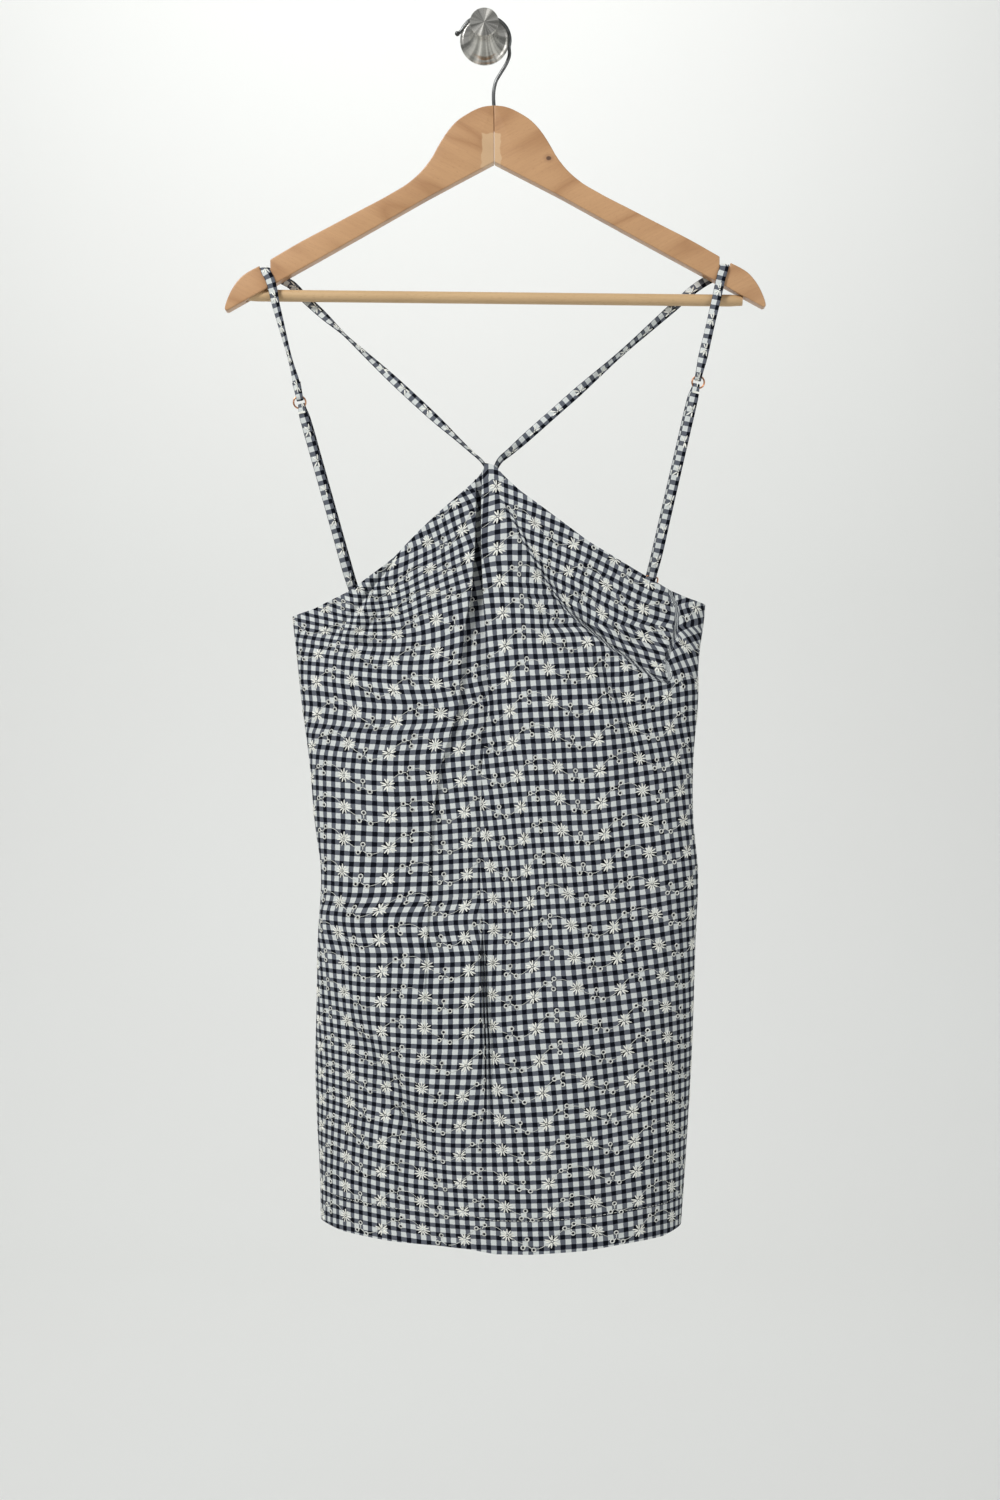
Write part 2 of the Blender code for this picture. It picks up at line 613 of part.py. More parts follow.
def hanger_arm(name, sign, material, cutters):
    outline = arm_outline(sign)
    work = bmesh.new()
    near = HANGER_Y - ARM_THICKNESS / 2
    face = work.faces.new([work.verts.new((x, near, z)) for x, z in outline])
    block = bmesh.ops.extrude_face_region(work, geom=[face])
    moved = [item for item in block["geom"] if isinstance(item, bmesh.types.BMVert)]
    bmesh.ops.translate(work, verts=moved, vec=(0, ARM_THICKNESS, 0))
    bmesh.ops.recalc_face_normals(work, faces=work.faces)
    rims = [edge for edge in work.edges if abs(edge.verts[0].co.y - edge.verts[1].co.y) < MM / 10]
    joint_x = HANGER_CENTRE_X
    rims = [edge for edge in rims
            if max(abs(vert.co.x - joint_x) for vert in edge.verts) > 3 * MM]
    bmesh.ops.bevel(work, geom=rims, offset=ARM_ROUNDING, segments=2, profile=0.6, affect="EDGES",
                    clamp_overlap=True)
    bmesh.ops.remove_doubles(work, verts=work.verts, dist=0.01 * MM)
    bmesh.ops.triangulate(work, faces=[f for f in work.faces if len(f.verts) > 4])
    mesh = bpy.data.meshes.new(name)
    work.to_mesh(mesh)
    work.free()
    mesh.materials.append(material)
    arm = bpy.data.objects.new(name, mesh)
    bpy.context.scene.collection.objects.link(arm)
    for cutter in cutters:
        cut = arm.modifiers.new(cutter.name, "BOOLEAN")
        cut.operation = "DIFFERENCE"
        cut.solver = "EXACT"
        cut.object = cutter
    return arm


def tube(name, points, radius, material, sides=8):
    """A closed wire along points in metres, with a rounded end."""
    points = np.asarray(points, dtype=float)
    tangent = np.gradient(points, axis=0)
    tangent /= np.linalg.norm(tangent, axis=1, keepdims=True)
    first = np.cross(tangent, [0, 1.0, 0])
    first /= np.linalg.norm(first, axis=1, keepdims=True)
    second = np.cross(tangent, first)
    rings = []
    for k in range(sides):
        angle = 2 * math.pi * k / sides
        rings.append(points + radius[:, None] * (first * math.cos(angle) + second * math.sin(angle)))
    verts = np.stack(rings, axis=1).reshape(-1, 3)
    faces = [tuple(range(sides)), tuple(range(len(verts) - 1, len(verts) - sides - 1, -1))]
    for i in range(len(points) - 1):
        for k in range(sides):
            a, b = i * sides + k, i * sides + (k + 1) % sides
            faces.append((a, b, b + sides, a + sides))
    return mesh_object(name, verts, faces, material)


def wire_hook(name, material):
    angles = np.radians(np.linspace(*HOOK_ARC_ANGLES, 10))
    arc = np.array(HOOK_ARC_CENTRE) + HOOK_ARC_RADIUS * np.stack([np.cos(angles), np.sin(angles)], axis=1)
    stem, tail = (np.array(list(zip(table["across"], table["up"]))) for table in (HOOK_STEM, HOOK_TAIL))
    stops = np.concatenate([stem, arc, tail])
    along = np.concatenate([[0], np.cumsum(np.linalg.norm(np.diff(stops, axis=0), axis=1))])
    ball = along[-1] - np.array([2.9, 2.0, 1.0, 0])
    places = np.concatenate([np.linspace(0, along[-1] - 3.6, 40), ball])
    x, z = (smooth(places, along, stops[:, k]) for k in (0, 1))
    radius = np.full(len(places), HOOK_WIRE_RADIUS)
    radius[-4:] = HOOK_WIRE_RADIUS * np.array([1.25, 1.5, 1.35, 0.7])
    points = np.stack([x * MM, np.full(len(x), HANGER_Y), z * MM], axis=1)
    return tube(name, points, radius, material)


def turned(name, table, material, sides=28):
    """A closed solid turned about the Y axis through the origin."""
    profile = list(zip(table["depth"], table["radius"]))
    points = [(0, -profile[0][0] * MM, 0)]
    for depth, radius in profile:
        for k in range(sides):
            angle = 2 * math.pi * k / sides
            points.append((radius * MM * math.cos(angle), -depth * MM, radius * MM * math.sin(angle)))
    points.append((0, -profile[-1][0] * MM, 0))
    faces = []
    for k in range(sides):
        n = (k + 1) % sides
        faces.append((0, 1 + n, 1 + k))
        base = 1 + (len(profile) - 1) * sides
        faces.append((len(points) - 1, base + k, base + n))
        for r in range(len(profile) - 1):
            a, b = 1 + r * sides + k, 1 + r * sides + n
            faces.append((a, b, b + sides, a + sides))
    return mesh_object(name, points, faces, material)


def build_dress():
    gingham = principled("gingham_cotton", (0.32, 0.35, 0.42), 0.85)
    copper = principled("copper_trim", (0.72, 0.42, 0.26), 0.32, 1.0)
    wall_from_grid("front_panel", front_grid(), -1, gingham)
    wall_from_grid("back_panel", back_grid(), 1, gingham.copy())
    for side, sizes in SIDES.items():
        upper_strap("strap_upper_" + side, sizes, gingham.copy())
        lower_strap("strap_lower_" + side, sizes, gingham.copy())
        ring_object("ring_" + side, sizes, copper)
        slider_object("slider_" + side, sizes, copper)


def build_hanger():
    beech = principled("hanger_beech", (0.72, 0.5, 0.31), 0.42)
    pale = principled("bar_beech", (0.84, 0.67, 0.47), 0.45)
    steel = principled("hook_wire", (0.34, 0.36, 0.36), 0.35, 1.0)
    left_end = (BAR_LEFT[0], HANGER_Y, BAR_LEFT[1])
    right_end = (BAR_RIGHT[0], HANGER_Y, BAR_RIGHT[1])
    run = np.array(right_end) - np.array(left_end)
    run /= np.linalg.norm(run)
    beyond = run * SEAM_GAP
    bar_hole = hidden_cutter("cut_bar_hole", left_end - beyond, right_end + beyond,
                             BAR_RADIUS + SEAM_GAP * 1.2)
    stem_x = HOOK_STEM["across"][0] * MM
    stem_low = HOOK_STEM["up"][0] * MM - SEAM_GAP
    stem_hole = hidden_cutter("cut_stem_hole", (stem_x, HANGER_Y, stem_low),
                              (stem_x, HANGER_Y, STEM_HOLE_TOP), HOOK_WIRE_RADIUS + SEAM_GAP)
    for name, sign in (("hanger_arm_left", -1), ("hanger_arm_right", 1)):
        hanger_arm(name, sign, beech, (bar_hole, stem_hole))
    points, faces = cylinder_between(left_end, right_end, BAR_RADIUS)
    mesh_object("hanger_bar", points, faces, pale)
    wire_hook("hanger_hook", steel)


def build_wall_hook():
    steel = principled("wall_hook_steel", (0.62, 0.61, 0.59), 0.3, 1.0)
    turned("wall_plate", PLATE_PROFILE, steel)
    turned("wall_knob", STEM_PROFILE, steel)


def main():
    clear_scene()
    build_dress()
    build_hanger()
    build_wall_hook()


main()
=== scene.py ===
# A short gingham sundress that hangs by its straps over a wooden hanger, on a turned steel wall hook.
# Sizes in the dictionaries are millimetres unless a line says otherwise; "drop" is measured down from the
# centre of the wall plate, which is the origin. The wall is the plane y = 0 and the room is towards -Y.
import math
from functools import reduce

import bpy
import numpy as np
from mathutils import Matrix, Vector
from mathutils.kdtree import KDTree


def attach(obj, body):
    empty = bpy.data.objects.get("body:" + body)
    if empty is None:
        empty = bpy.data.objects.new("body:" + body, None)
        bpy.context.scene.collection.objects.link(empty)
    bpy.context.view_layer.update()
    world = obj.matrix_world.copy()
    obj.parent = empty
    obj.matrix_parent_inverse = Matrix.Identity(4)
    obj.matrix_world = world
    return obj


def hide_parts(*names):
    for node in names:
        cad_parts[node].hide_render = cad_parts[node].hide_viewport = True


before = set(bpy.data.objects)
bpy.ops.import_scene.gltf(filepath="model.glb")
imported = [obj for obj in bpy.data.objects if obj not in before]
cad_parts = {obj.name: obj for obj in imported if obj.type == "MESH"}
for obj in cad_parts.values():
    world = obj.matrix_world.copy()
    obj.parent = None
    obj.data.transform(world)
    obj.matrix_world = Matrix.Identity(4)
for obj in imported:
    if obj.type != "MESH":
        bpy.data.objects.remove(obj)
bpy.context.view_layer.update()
mm = 0.001


# Small helpers

def deselectAll():
    if bpy.context.object and bpy.context.object.mode != "OBJECT":
        bpy.ops.object.mode_set(mode="OBJECT")
    bpy.ops.object.select_all(action="DESELECT")


def pick(piece):
    deselectAll()
    piece.select_set(True)
    bpy.context.view_layer.objects.active = piece


def applyModifier(piece, kind, **values):
    pick(piece)
    modifier = piece.modifiers.new(kind.title(), kind)
    for name, value in values.items():
        setattr(modifier, name, value)
    bpy.ops.object.modifier_apply(modifier=modifier.name)


def finishPiece(piece, name, materials, standsFor=(), smoothAngle=40):
    pick(piece)
    bpy.ops.object.transform_apply(location=True, rotation=True, scale=True)
    piece.name = name
    piece.data.name = name
    piece.data.materials.clear()
    for material in materials:
        piece.data.materials.append(material)
    bpy.ops.object.shade_smooth_by_angle(angle=math.radians(smoothAngle))
    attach(piece, "root")
    if standsFor:
        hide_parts(*standsFor)
    print("made", name, len(piece.data.polygons), "faces")
    return piece


def joinPieces(parts):
    deselectAll()
    for part in parts:
        part.select_set(True)
    bpy.context.view_layer.objects.active = parts[0]
    bpy.ops.object.join()
    return parts[0]


def linkPiece(name, data):
    piece = bpy.data.objects.new(name, data)
    bpy.context.scene.collection.objects.link(piece)
    pick(piece)
    return piece


def faceOutwards(piece, mergeWithin=0):
    pick(piece)
    bpy.ops.object.mode_set(mode="EDIT")
    bpy.ops.mesh.select_all(action="SELECT")
    if mergeWithin:
        bpy.ops.mesh.remove_doubles(threshold=mergeWithin)
    bpy.ops.mesh.normals_make_consistent(inside=False)
    bpy.ops.object.mode_set(mode="OBJECT")


def wirePiece(line, radius, closed=False, radii=None, resolution=3, scale=mm):  # a round wire along a line
    curve = bpy.data.curves.new("wire", "CURVE")
    curve.dimensions = "3D"
    curve.bevel_depth = radius * scale
    curve.bevel_resolution = resolution
    curve.use_fill_caps = True
    spline = curve.splines.new("POLY")
    spline.points.add(len(line) - 1)
    for k, (point, place) in enumerate(zip(spline.points, line)):
        point.co = (*(float(value) * scale for value in place), 1)
        if radii is not None:
            point.radius = radii[k]
    spline.use_cyclic_u = closed
    linkPiece("wire", curve)
    bpy.ops.object.convert(target="MESH")
    return bpy.context.object


def meshPiece(points, faces, closed=True):
    mesh = bpy.data.meshes.new("stitches")
    mesh.from_pydata(points.tolist(), [], faces)
    piece = linkPiece("stitches", mesh)
    if closed:
        faceOutwards(piece)
    return piece


def tubeFaces(rings, sides, start=0):  # the faces between rings of points, laid one after another
    return [(a, b, b + sides, a + sides) for first in range(start, start + (rings - 1) * sides, sides)
            for a, b in ((first + k, first + (k + 1) % sides) for k in range(sides))]


def runAlong(line):  # the length run so far, at each point of a line
    return np.concatenate([[0], np.cumsum(np.linalg.norm(np.diff(line, axis=0), axis=1))])


def runAcross(x, y):  # the same along each row of a grid
    steps = np.hypot(np.diff(x, axis=1), np.diff(y, axis=1))
    return np.concatenate([np.zeros((len(x), 1)), np.cumsum(steps, axis=1)], axis=1)


def smoothCurve(x, knots, values):  # soft curve through the knots, level past its ends
    knots = np.asarray(knots, dtype=float)
    values = np.asarray(values, dtype=float)
    slopes = np.gradient(values, knots, axis=0)
    x = np.clip(x, knots[0], knots[-1])
    i = np.clip(np.searchsorted(knots, x) - 1, 0, len(knots) - 2)
    step = knots[i + 1] - knots[i]
    t = (x - knots[i]) / step
    if values.ndim == 1:
        low, high, slopeLow, slopeHigh = values[i], values[i + 1], slopes[i], slopes[i + 1]
    else:
        n = np.arange(len(x))
        low, high, slopeLow, slopeHigh = values[i, n], values[i + 1, n], slopes[i, n], slopes[i + 1, n]
    start = (1 + 2 * t) * (1 - t) ** 2 * low + t * (1 - t) ** 2 * step * slopeLow
    end = t * t * (3 - 2 * t) * high + t * t * (t - 1) * step * slopeHigh
    return start + end


def fieldAt(chart, label, x, drop):  # a value charted across and down the cloth, read between its rows
    rows = np.array([smoothCurve(np.ravel(x), chart["across"], row) for row in chart[label]])
    return smoothCurve(np.ravel(drop), chart["drop"], rows).reshape(np.shape(x))


def unit(vectors):
    return vectors / np.maximum(np.linalg.norm(vectors, axis=-1, keepdims=True), 1e-12)


# Shader helpers

def setOrLink(tree, socket, value):
    if isinstance(value, (int, float)):
        socket.default_value = value
    elif isinstance(value, tuple):
        socket.default_value = value if socket.type == "VECTOR" else (*value, 1.0)
    else:
        tree.links.new(value, socket)


def addMath(tree, operation, *values):
    node = tree.nodes.new("ShaderNodeMath")
    node.operation = operation
    for place, value in enumerate(values):
        setOrLink(tree, node.inputs[place], value)
    return node.outputs[0]


def plus(tree, *values):
    return reduce(lambda total, value: addMath(tree, "ADD", total, value), values)


def times(tree, *values):
    return reduce(lambda total, value: addMath(tree, "MULTIPLY", total, value), values)


def addVector(tree, operation, *values):
    node = tree.nodes.new("ShaderNodeVectorMath")
    node.operation = operation
    for place, value in enumerate(values):
        setOrLink(tree, node.inputs[place], value)
    return node.outputs["Value"] if operation == "LENGTH" else node.outputs[0]


def splitXYZ(tree, vector):
    node = tree.nodes.new("ShaderNodeSeparateXYZ")
    tree.links.new(vector, node.inputs[0])
    return node.outputs


def addNoise(tree, vector, scale, detail=2.0, roughness=0.5, label="Fac"):
    node = tree.nodes.new("ShaderNodeTexNoise")
    for socket, value in (("Vector", vector), ("Scale", scale), ("Detail", detail), ("Roughness", roughness)):
        setOrLink(tree, node.inputs[socket], value)
    return node.outputs[label]


def addRange(tree, value, low, high, newLow=0.0, newHigh=1.0):
    node = tree.nodes.new("ShaderNodeMapRange")
    node.interpolation_type = "SMOOTHSTEP"
    for label, number in (("Value", value), ("From Min", low), ("From Max", high), ("To Min", newLow),
                          ("To Max", newHigh)):
        setOrLink(tree, node.inputs[label], number)
    return node.outputs["Result"]


def addMix(tree, factor, first, second, blend="MIX"):
    node = tree.nodes.new("ShaderNodeMix")
    node.data_type = "RGBA"
    node.blend_type = blend
    for place, value in ((0, factor), (6, first), (7, second)):
        setOrLink(tree, node.inputs[place], value)
    return node.outputs[2]


def makeGroup(name, inputs):  # every group puts out a colour, a roughness and a height
    group = bpy.data.node_groups.new(name, "ShaderNodeTree")
    kinds = {"vector": "NodeSocketVector", "number": "NodeSocketFloat", "colour": "NodeSocketColor"}
    for label, kind, value in inputs:
        socket = group.interface.new_socket(label, in_out="INPUT", socket_type=kinds[kind])
        if kind == "colour":
            socket.default_value = (*value, 1.0)
        elif kind == "number":
            socket.default_value = value
    for label, kind in (("Color", "colour"), ("Roughness", "number"), ("Height", "number")):
        group.interface.new_socket(label, in_out="OUTPUT", socket_type=kinds[kind])
    return group, group.nodes.new("NodeGroupInput").outputs, group.nodes.new("NodeGroupOutput").inputs


def useGroup(tree, group, vector, values):
    node = tree.nodes.new("ShaderNodeGroup")
    node.node_tree = group
    for label, value in (("Vector", vector), *values.items()):
        setOrLink(tree, node.inputs[label], value)
    return node.outputs


def newMaterial(name, **sockets):  # a Principled material with its even values on its own sockets
    material = bpy.data.materials.new(name)
    material.use_nodes = True
    shader = material.node_tree.nodes["Principled BSDF"]
    for label, value in sockets.items():
        shader.inputs[label.replace("_", " ")].default_value = value
    return material, material.node_tree, shader


def coordinates(tree, label):
    return tree.nodes.new("ShaderNodeTexCoord").outputs[label]


def feedShader(tree, shader, outputs, strength=0.0, distance=0.0):
    tree.links.new(outputs["Color"], shader.inputs["Base Color"])
    tree.links.new(outputs["Roughness"], shader.inputs["Roughness"])
    if strength:
        bump = tree.nodes.new("ShaderNodeBump")
        bump.inputs["Strength"].default_value = strength
        bump.inputs["Distance"].default_value = distance
        tree.links.new(outputs["Height"], bump.inputs["Height"])
        tree.links.new(bump.outputs["Normal"], shader.inputs["Normal"])


# Finishes

gingham = {
    "warpCheck": 4.0, "weftCheck": 4.1, "thread": 0.3, "blur": 0.12, "waver": 0.7,
    "light": (0.66, 0.69, 0.675), "mixed": (0.118, 0.129, 0.154), "dark": (0.003, 0.0042, 0.0085), "lightShare": 0.53,
}


def ginghamGroup():
    group, given, made = makeGroup("ginghamWeave", [
        ("Vector", "vector", None), ("Warp check", "number", gingham["warpCheck"] * mm),
        ("Weft check", "number", gingham["weftCheck"] * mm), ("Thread", "number", gingham["thread"] * mm),
        ("Light", "colour", gingham["light"]), ("Mixed", "colour", gingham["mixed"]),
        ("Dark", "colour", gingham["dark"])])
    blur, waver = gingham["blur"] * mm, gingham["waver"] * mm
    shift = addVector(group, "SUBTRACT", addNoise(group, given["Vector"], 420.0, label="Color"), (0.5, 0.5, 0.5))
    shift = addVector(group, "MULTIPLY", shift, (waver, waver, 0.0))
    place = splitXYZ(group, addVector(group, "ADD", given["Vector"], shift))
    stripes, waves = [], []
    for axis, label in (("X", "Warp check"), ("Y", "Weft check")):
        folded = addMath(group, "PINGPONG", place[axis], given[label])  # navy in the middle, white at the ends
        half = times(group, given[label], 1 - gingham["lightShare"])
        stripes.append(addRange(group, folded, addMath(group, "SUBTRACT", half, blur), plus(group, half, blur)))
        turn = times(group, addMath(group, "DIVIDE", place[axis], given["Thread"]), math.pi)
        waves.append(addMath(group, "SINE", turn))  # single threads, over and under
    darkRow = addMix(group, stripes[0], given["Dark"], given["Mixed"])
    lightRow = addMix(group, stripes[0], given["Mixed"], given["Light"])
    colour = addMix(group, stripes[1], darkRow, lightRow)
    crossing = times(group, *waves)
    slub = addNoise(group, given["Vector"], 1500.0, 3.0, 0.6)
    cloud = addNoise(group, given["Vector"], 55.0, 3.0, 0.55)
    shade = plus(group, times(group, crossing, 0.09), times(group, slub, 0.3), times(group, cloud, 0.12), 0.8)
    tone = group.nodes.new("ShaderNodeCombineColor")
    for channel in range(3):
        group.links.new(shade, tone.inputs[channel])
    group.links.new(addMix(group, 1.0, colour, tone.outputs[0], "MULTIPLY"), made["Color"])
    group.links.new(plus(group, times(group, slub, 0.15), 0.8), made["Roughness"])
    group.links.new(plus(group, times(group, crossing, 0.4), slub), made["Height"])
    return group


def clothMaterial(group):
    material, tree, shader = newMaterial("ginghamCotton", Sheen_Weight=0.02, Specular_IOR_Level=0.08)
    feedShader(tree, shader, useGroup(tree, group, coordinates(tree, "UV"), {}), 0.35, 0.0002)
    return material


floss = {
    "petal": (0.95, 0.95, 0.88), "petalShade": (0.8, 0.8, 0.73), "lace": (0.8, 0.81, 0.76),
    # the two hole colours are painted shade: dark discs stand for the shaded inside of the dress seen through the
    # eyelets
    "laceShade": (0.56, 0.57, 0.53), "holeShade": (0.03, 0.03, 0.045), "holeShadeDark": (0.006, 0.006, 0.01),
}


def flossMaterial(name, colour, shadeColour):
    material, tree, shader = newMaterial(name, Sheen_Weight=0.05, Specular_IOR_Level=0.2)
    place = coordinates(tree, "Object")
    strands = addNoise(tree, place, 2600.0)
    tone = addMix(tree, addRange(tree, addNoise(tree, place, 300.0), 0.35, 0.65), shadeColour, colour)
    rough = addRange(tree, strands, 0.2, 0.8, 0.5, 0.75)
    feedShader(tree, shader, {"Color": tone, "Roughness": rough, "Height": strands}, 0.5, 0.0002)
    return material


# painted shade: a near-black colour for the eyelet holes, where the inside of the dress lies in shade
def holeShadeMaterial():
    material, tree, shader = newMaterial("eyeletShade", Specular_IOR_Level=0.1)
    cloud = addNoise(tree, coordinates(tree, "Object"), 900.0)
    feedShader(tree, shader, {"Color": addMix(tree, cloud, floss["holeShadeDark"], floss["holeShade"]),
                              "Roughness": addRange(tree, cloud, 0.0, 1.0, 0.8, 0.95)})
    return material


beech = {
    "light": (0.6, 0.35, 0.175), "dark": (0.32, 0.145, 0.055), "barLight": (0.64, 0.44, 0.235),
    "barDark": (0.38, 0.225, 0.1), "patch": (0.66, 0.45, 0.26), "armSlope": 27.0,
    "knot": (53.0, -108.0), "knotHalo": (0.32, 0.16, 0.08), "knotHeart": (0.09, 0.045, 0.028),
    "patchLow": (-2.0, -114.5), "patchHigh": (13.5, -87.0),
    "swell": ((5.0, 22.0, 22.0), 2.0, 0.45), "fibre": ((40.0, 700.0, 700.0), 3.0, 0.5),
    "fleck": ((260.0, 1500.0, 1500.0), 1.0, 0.5), "cloud": ((9.0, 30.0, 30.0), 2.0, 0.5),
}


def woodGroup():
    group, given, made = makeGroup("beechGrain", [
        ("Vector", "vector", None), ("Light", "colour", beech["light"]), ("Dark", "colour", beech["dark"]),
        ("Bands", "number", 9.0)])
    swell, fibre, fleck, cloud = (
        addNoise(group, addVector(group, "MULTIPLY", given["Vector"], stretch), 1.0, detail, roughness)
        for stretch, detail, roughness in (beech[label] for label in ("swell", "fibre", "fleck", "cloud")))
    contour = addMath(group, "PINGPONG", times(group, swell, given["Bands"]), 1.0)
    contour = addMath(group, "POWER", contour, 2.2)
    flecks = addRange(group, fleck, 0.6, 0.72)
    amount = plus(group, times(group, contour, 0.42), times(group, fibre, 0.35), times(group, cloud, 0.3), -0.14)
    colour = addMix(group, amount, given["Light"], given["Dark"])
    colour = addMix(group, times(group, flecks, 0.28), colour, given["Dark"])
    group.links.new(colour, made["Color"])
    group.links.new(addRange(group, fibre, 0.2, 0.8, 0.36, 0.5), made["Roughness"])
    group.links.new(addMath(group, "SUBTRACT", fibre, flecks), made["Height"])
    return group


def armMaterial(group, name, slope):  # the grain runs down each arm; the joint's patch and a knot show in front
    material, tree, shader = newMaterial(name, Coat_Weight=0.25, Coat_Roughness=0.28)
    place = coordinates(tree, "Object")
    turn = tree.nodes.new("ShaderNodeMapping")
    turn.inputs["Rotation"].default_value = (0.0, math.radians(slope), 0.0)
    turn.inputs["Location"].default_value = (0.13 if slope > 0 else 0.71, 0.3, 0.17)
    tree.links.new(place, turn.inputs["Vector"])
    outputs = useGroup(tree, group, turn.outputs[0], {})
    split = splitXYZ(tree, place)
    wobble = times(tree, plus(tree, addNoise(tree, place, 160.0, 1.0), -0.5), 0.005)
    edges = []
    for axis, low, high in zip("XZ", beech["patchLow"], beech["patchHigh"]):
        value = plus(tree, split[axis], wobble)
        edges.append(times(tree, addRange(tree, value, (low - 0.5) * mm, (low + 0.5) * mm),
                           addRange(tree, value, (high + 0.5) * mm, (high - 0.5) * mm)))
    colour = addMix(tree, times(tree, *edges, 0.75), outputs["Color"], beech["patch"])
    front = (hangerPlace["y"] - arm["thickness"] / 2) * mm
    offset = addVector(tree, "SUBTRACT", place, (beech["knot"][0] * mm, front, beech["knot"][1] * mm))
    spread = addVector(tree, "LENGTH", addVector(tree, "MULTIPLY", offset, (1.0, 0.3, 1.25)))
    colour = addMix(tree, addRange(tree, spread, 0.0062, 0.0022, 0.0, 0.45), colour, beech["knotHalo"])
    colour = addMix(tree, addRange(tree, spread, 0.0026, 0.0016, 0.0, 0.9), colour, beech["knotHeart"])
    feedShader(tree, shader, {**dict(outputs.items()), "Color": colour}, 0.12, 0.0003)
    return material


def barMaterial(group):
    material, tree, shader = newMaterial("barBeech", Coat_Weight=0.15, Coat_Roughness=0.35)
    outputs = useGroup(tree, group, coordinates(tree, "Object"),
                       {"Light": beech["barLight"], "Dark": beech["barDark"], "Bands": 5.0})
    feedShader(tree, shader, outputs, 0.12, 0.0003)
    return material


steel = {
    # colour and shade are the light and dark sectors of painted reflection on the turned steel
    "colour": (0.93, 0.9, 0.84), "shade": (0.36, 0.35, 0.32), "groove": (0.3, 0.3, 0.29), "reflectionSectors": 2.3,
    "wire": (0.16, 0.165, 0.165), "wireDark": (0.08, 0.08, 0.08),
    "copper": (0.72, 0.36, 0.2), "copperDark": (0.45, 0.2, 0.11),
}


def turnedGroup():  # fine rings left by the lathe, round the Y axis, and painted reflection in lighter and darker sectors round it
    group, given, made = makeGroup("turnedRingsAndReflection", [("Vector", "vector", None), ("Tint", "colour", steel["colour"])])
    flat = addVector(group, "MULTIPLY", given["Vector"], (1.0, 0.0, 1.0))
    line = group.nodes.new("ShaderNodeCombineXYZ")
    for place, value in enumerate((addVector(group, "LENGTH", flat), splitXYZ(group, given["Vector"])["Y"])):
        group.links.new(times(group, value, 3200.0), line.inputs[place])
    rings = addNoise(group, line.outputs[0], 1.0, 2.0, 0.6)
    smudge = addNoise(group, given["Vector"], 90.0)
    # painted reflection: the steel turns lighter and darker by sector round the axis, standing for the room it reflects
    reflectionSectors = addNoise(group, addVector(group, "NORMALIZE", flat), steel["reflectionSectors"], 2.0, 0.6)
    sectorReflectionTone = addMix(group, addRange(group, reflectionSectors, 0.38, 0.62), steel["shade"], given["Tint"])
    group.links.new(addMix(group, times(group, rings, 0.35), sectorReflectionTone, steel["groove"]), made["Color"])
    rough = plus(group, times(group, rings, 0.12), times(group, smudge, 0.1), 0.16)
    group.links.new(rough, made["Roughness"])
    group.links.new(rings, made["Height"])
    return group


def turnedMaterial(group):
    material, tree, shader = newMaterial("turnedSteel", Metallic=1.0, Anisotropic=0.8)
    tangent = tree.nodes.new("ShaderNodeTangent")
    tangent.direction_type = "RADIAL"
    tangent.axis = "Y"
    tree.links.new(tangent.outputs[0], shader.inputs["Tangent"])
    feedShader(tree, shader, useGroup(tree, group, coordinates(tree, "Object"), {}), 0.08, 0.0001)
    return material


def metalMaterial(name, colour, dark, low, high):
    material, tree, shader = newMaterial(name, Metallic=1.0)
    place = coordinates(tree, "Object")
    scuff = addNoise(tree, place, 3000.0)
    tone = addMix(tree, addRange(tree, addNoise(tree, place, 260.0, 3.0), 0.4, 0.75), colour, dark)
    rough = addRange(tree, scuff, 0.2, 0.8, low, high)
    feedShader(tree, shader, {"Color": tone, "Roughness": rough, "Height": scuff}, 0.06, 0.0001)
    return material


# The form of the dress, as it hangs

dress = {
    "rows": 236, "columns": {"left": 60, "tuckLeft": 13, "strip": 8, "tuckRight": 27, "right": 70},
    "backRows": 170, "backColumns": 120, "wall": 0.75,
}
form = {
    "drop": (360, 420, 485, 521, 554, 603, 653, 694, 752, 801, 851, 900, 941, 998),
    "left": (-159, -159, -158.5, -154.5, -151, -144.5, -140,
             -134.8, -137.3, -138.2, -139.2, -137.8, -135.6, -134.4),
    "right": (183.3, 183.3, 181.8, 177, 176.4, 172.4, 172.3,
              176, 174, 172.6, 170.6, 167.8, 165.2, 161.2),
    "side": (-34, -34, -34, -36, -37, -38, -39, -40, -40, -40, -40, -40, -40, -40),
    "front": (-52, -58, -66, -71, -75, -79, -83, -87, -92, -97, -101, -105, -108, -111),
    "back": (-22, -21, -19, -18, -17, -16, -15, -14, -13.5, -13, -12.5, -12, -12, -12),
}
neckline = {
    "across": (-159, -140, -110, -76.5, -51.4, -33.8, -8.4, -1.9, 0.5, 8,
               16, 29, 44, 62, 85, 123.5, 153, 166, 183.3),
    "drop": (485.2, 479.4, 464.8, 440.2, 414, 397.6, 375.4, 367, 360, 361.5,
             370.4, 382.6, 393.6, 407, 424.3, 447.6, 464.6, 469.8, 475.4),
}
hemLine = {
    "across": (-135, -115, -74, -37, -11, 9, 37, 81, 110, 145, 162),
    "drop": (980, 984.6, 988.6, 990.2, 992.8, 996.4, 997, 995.2, 991.8, 989.4, 984.6),
}
backEdge = {"sag": 9.0, "hemLeft": 980.0, "hemRight": 984.6, "hemSag": 9.0, "seamRise": 14.0}
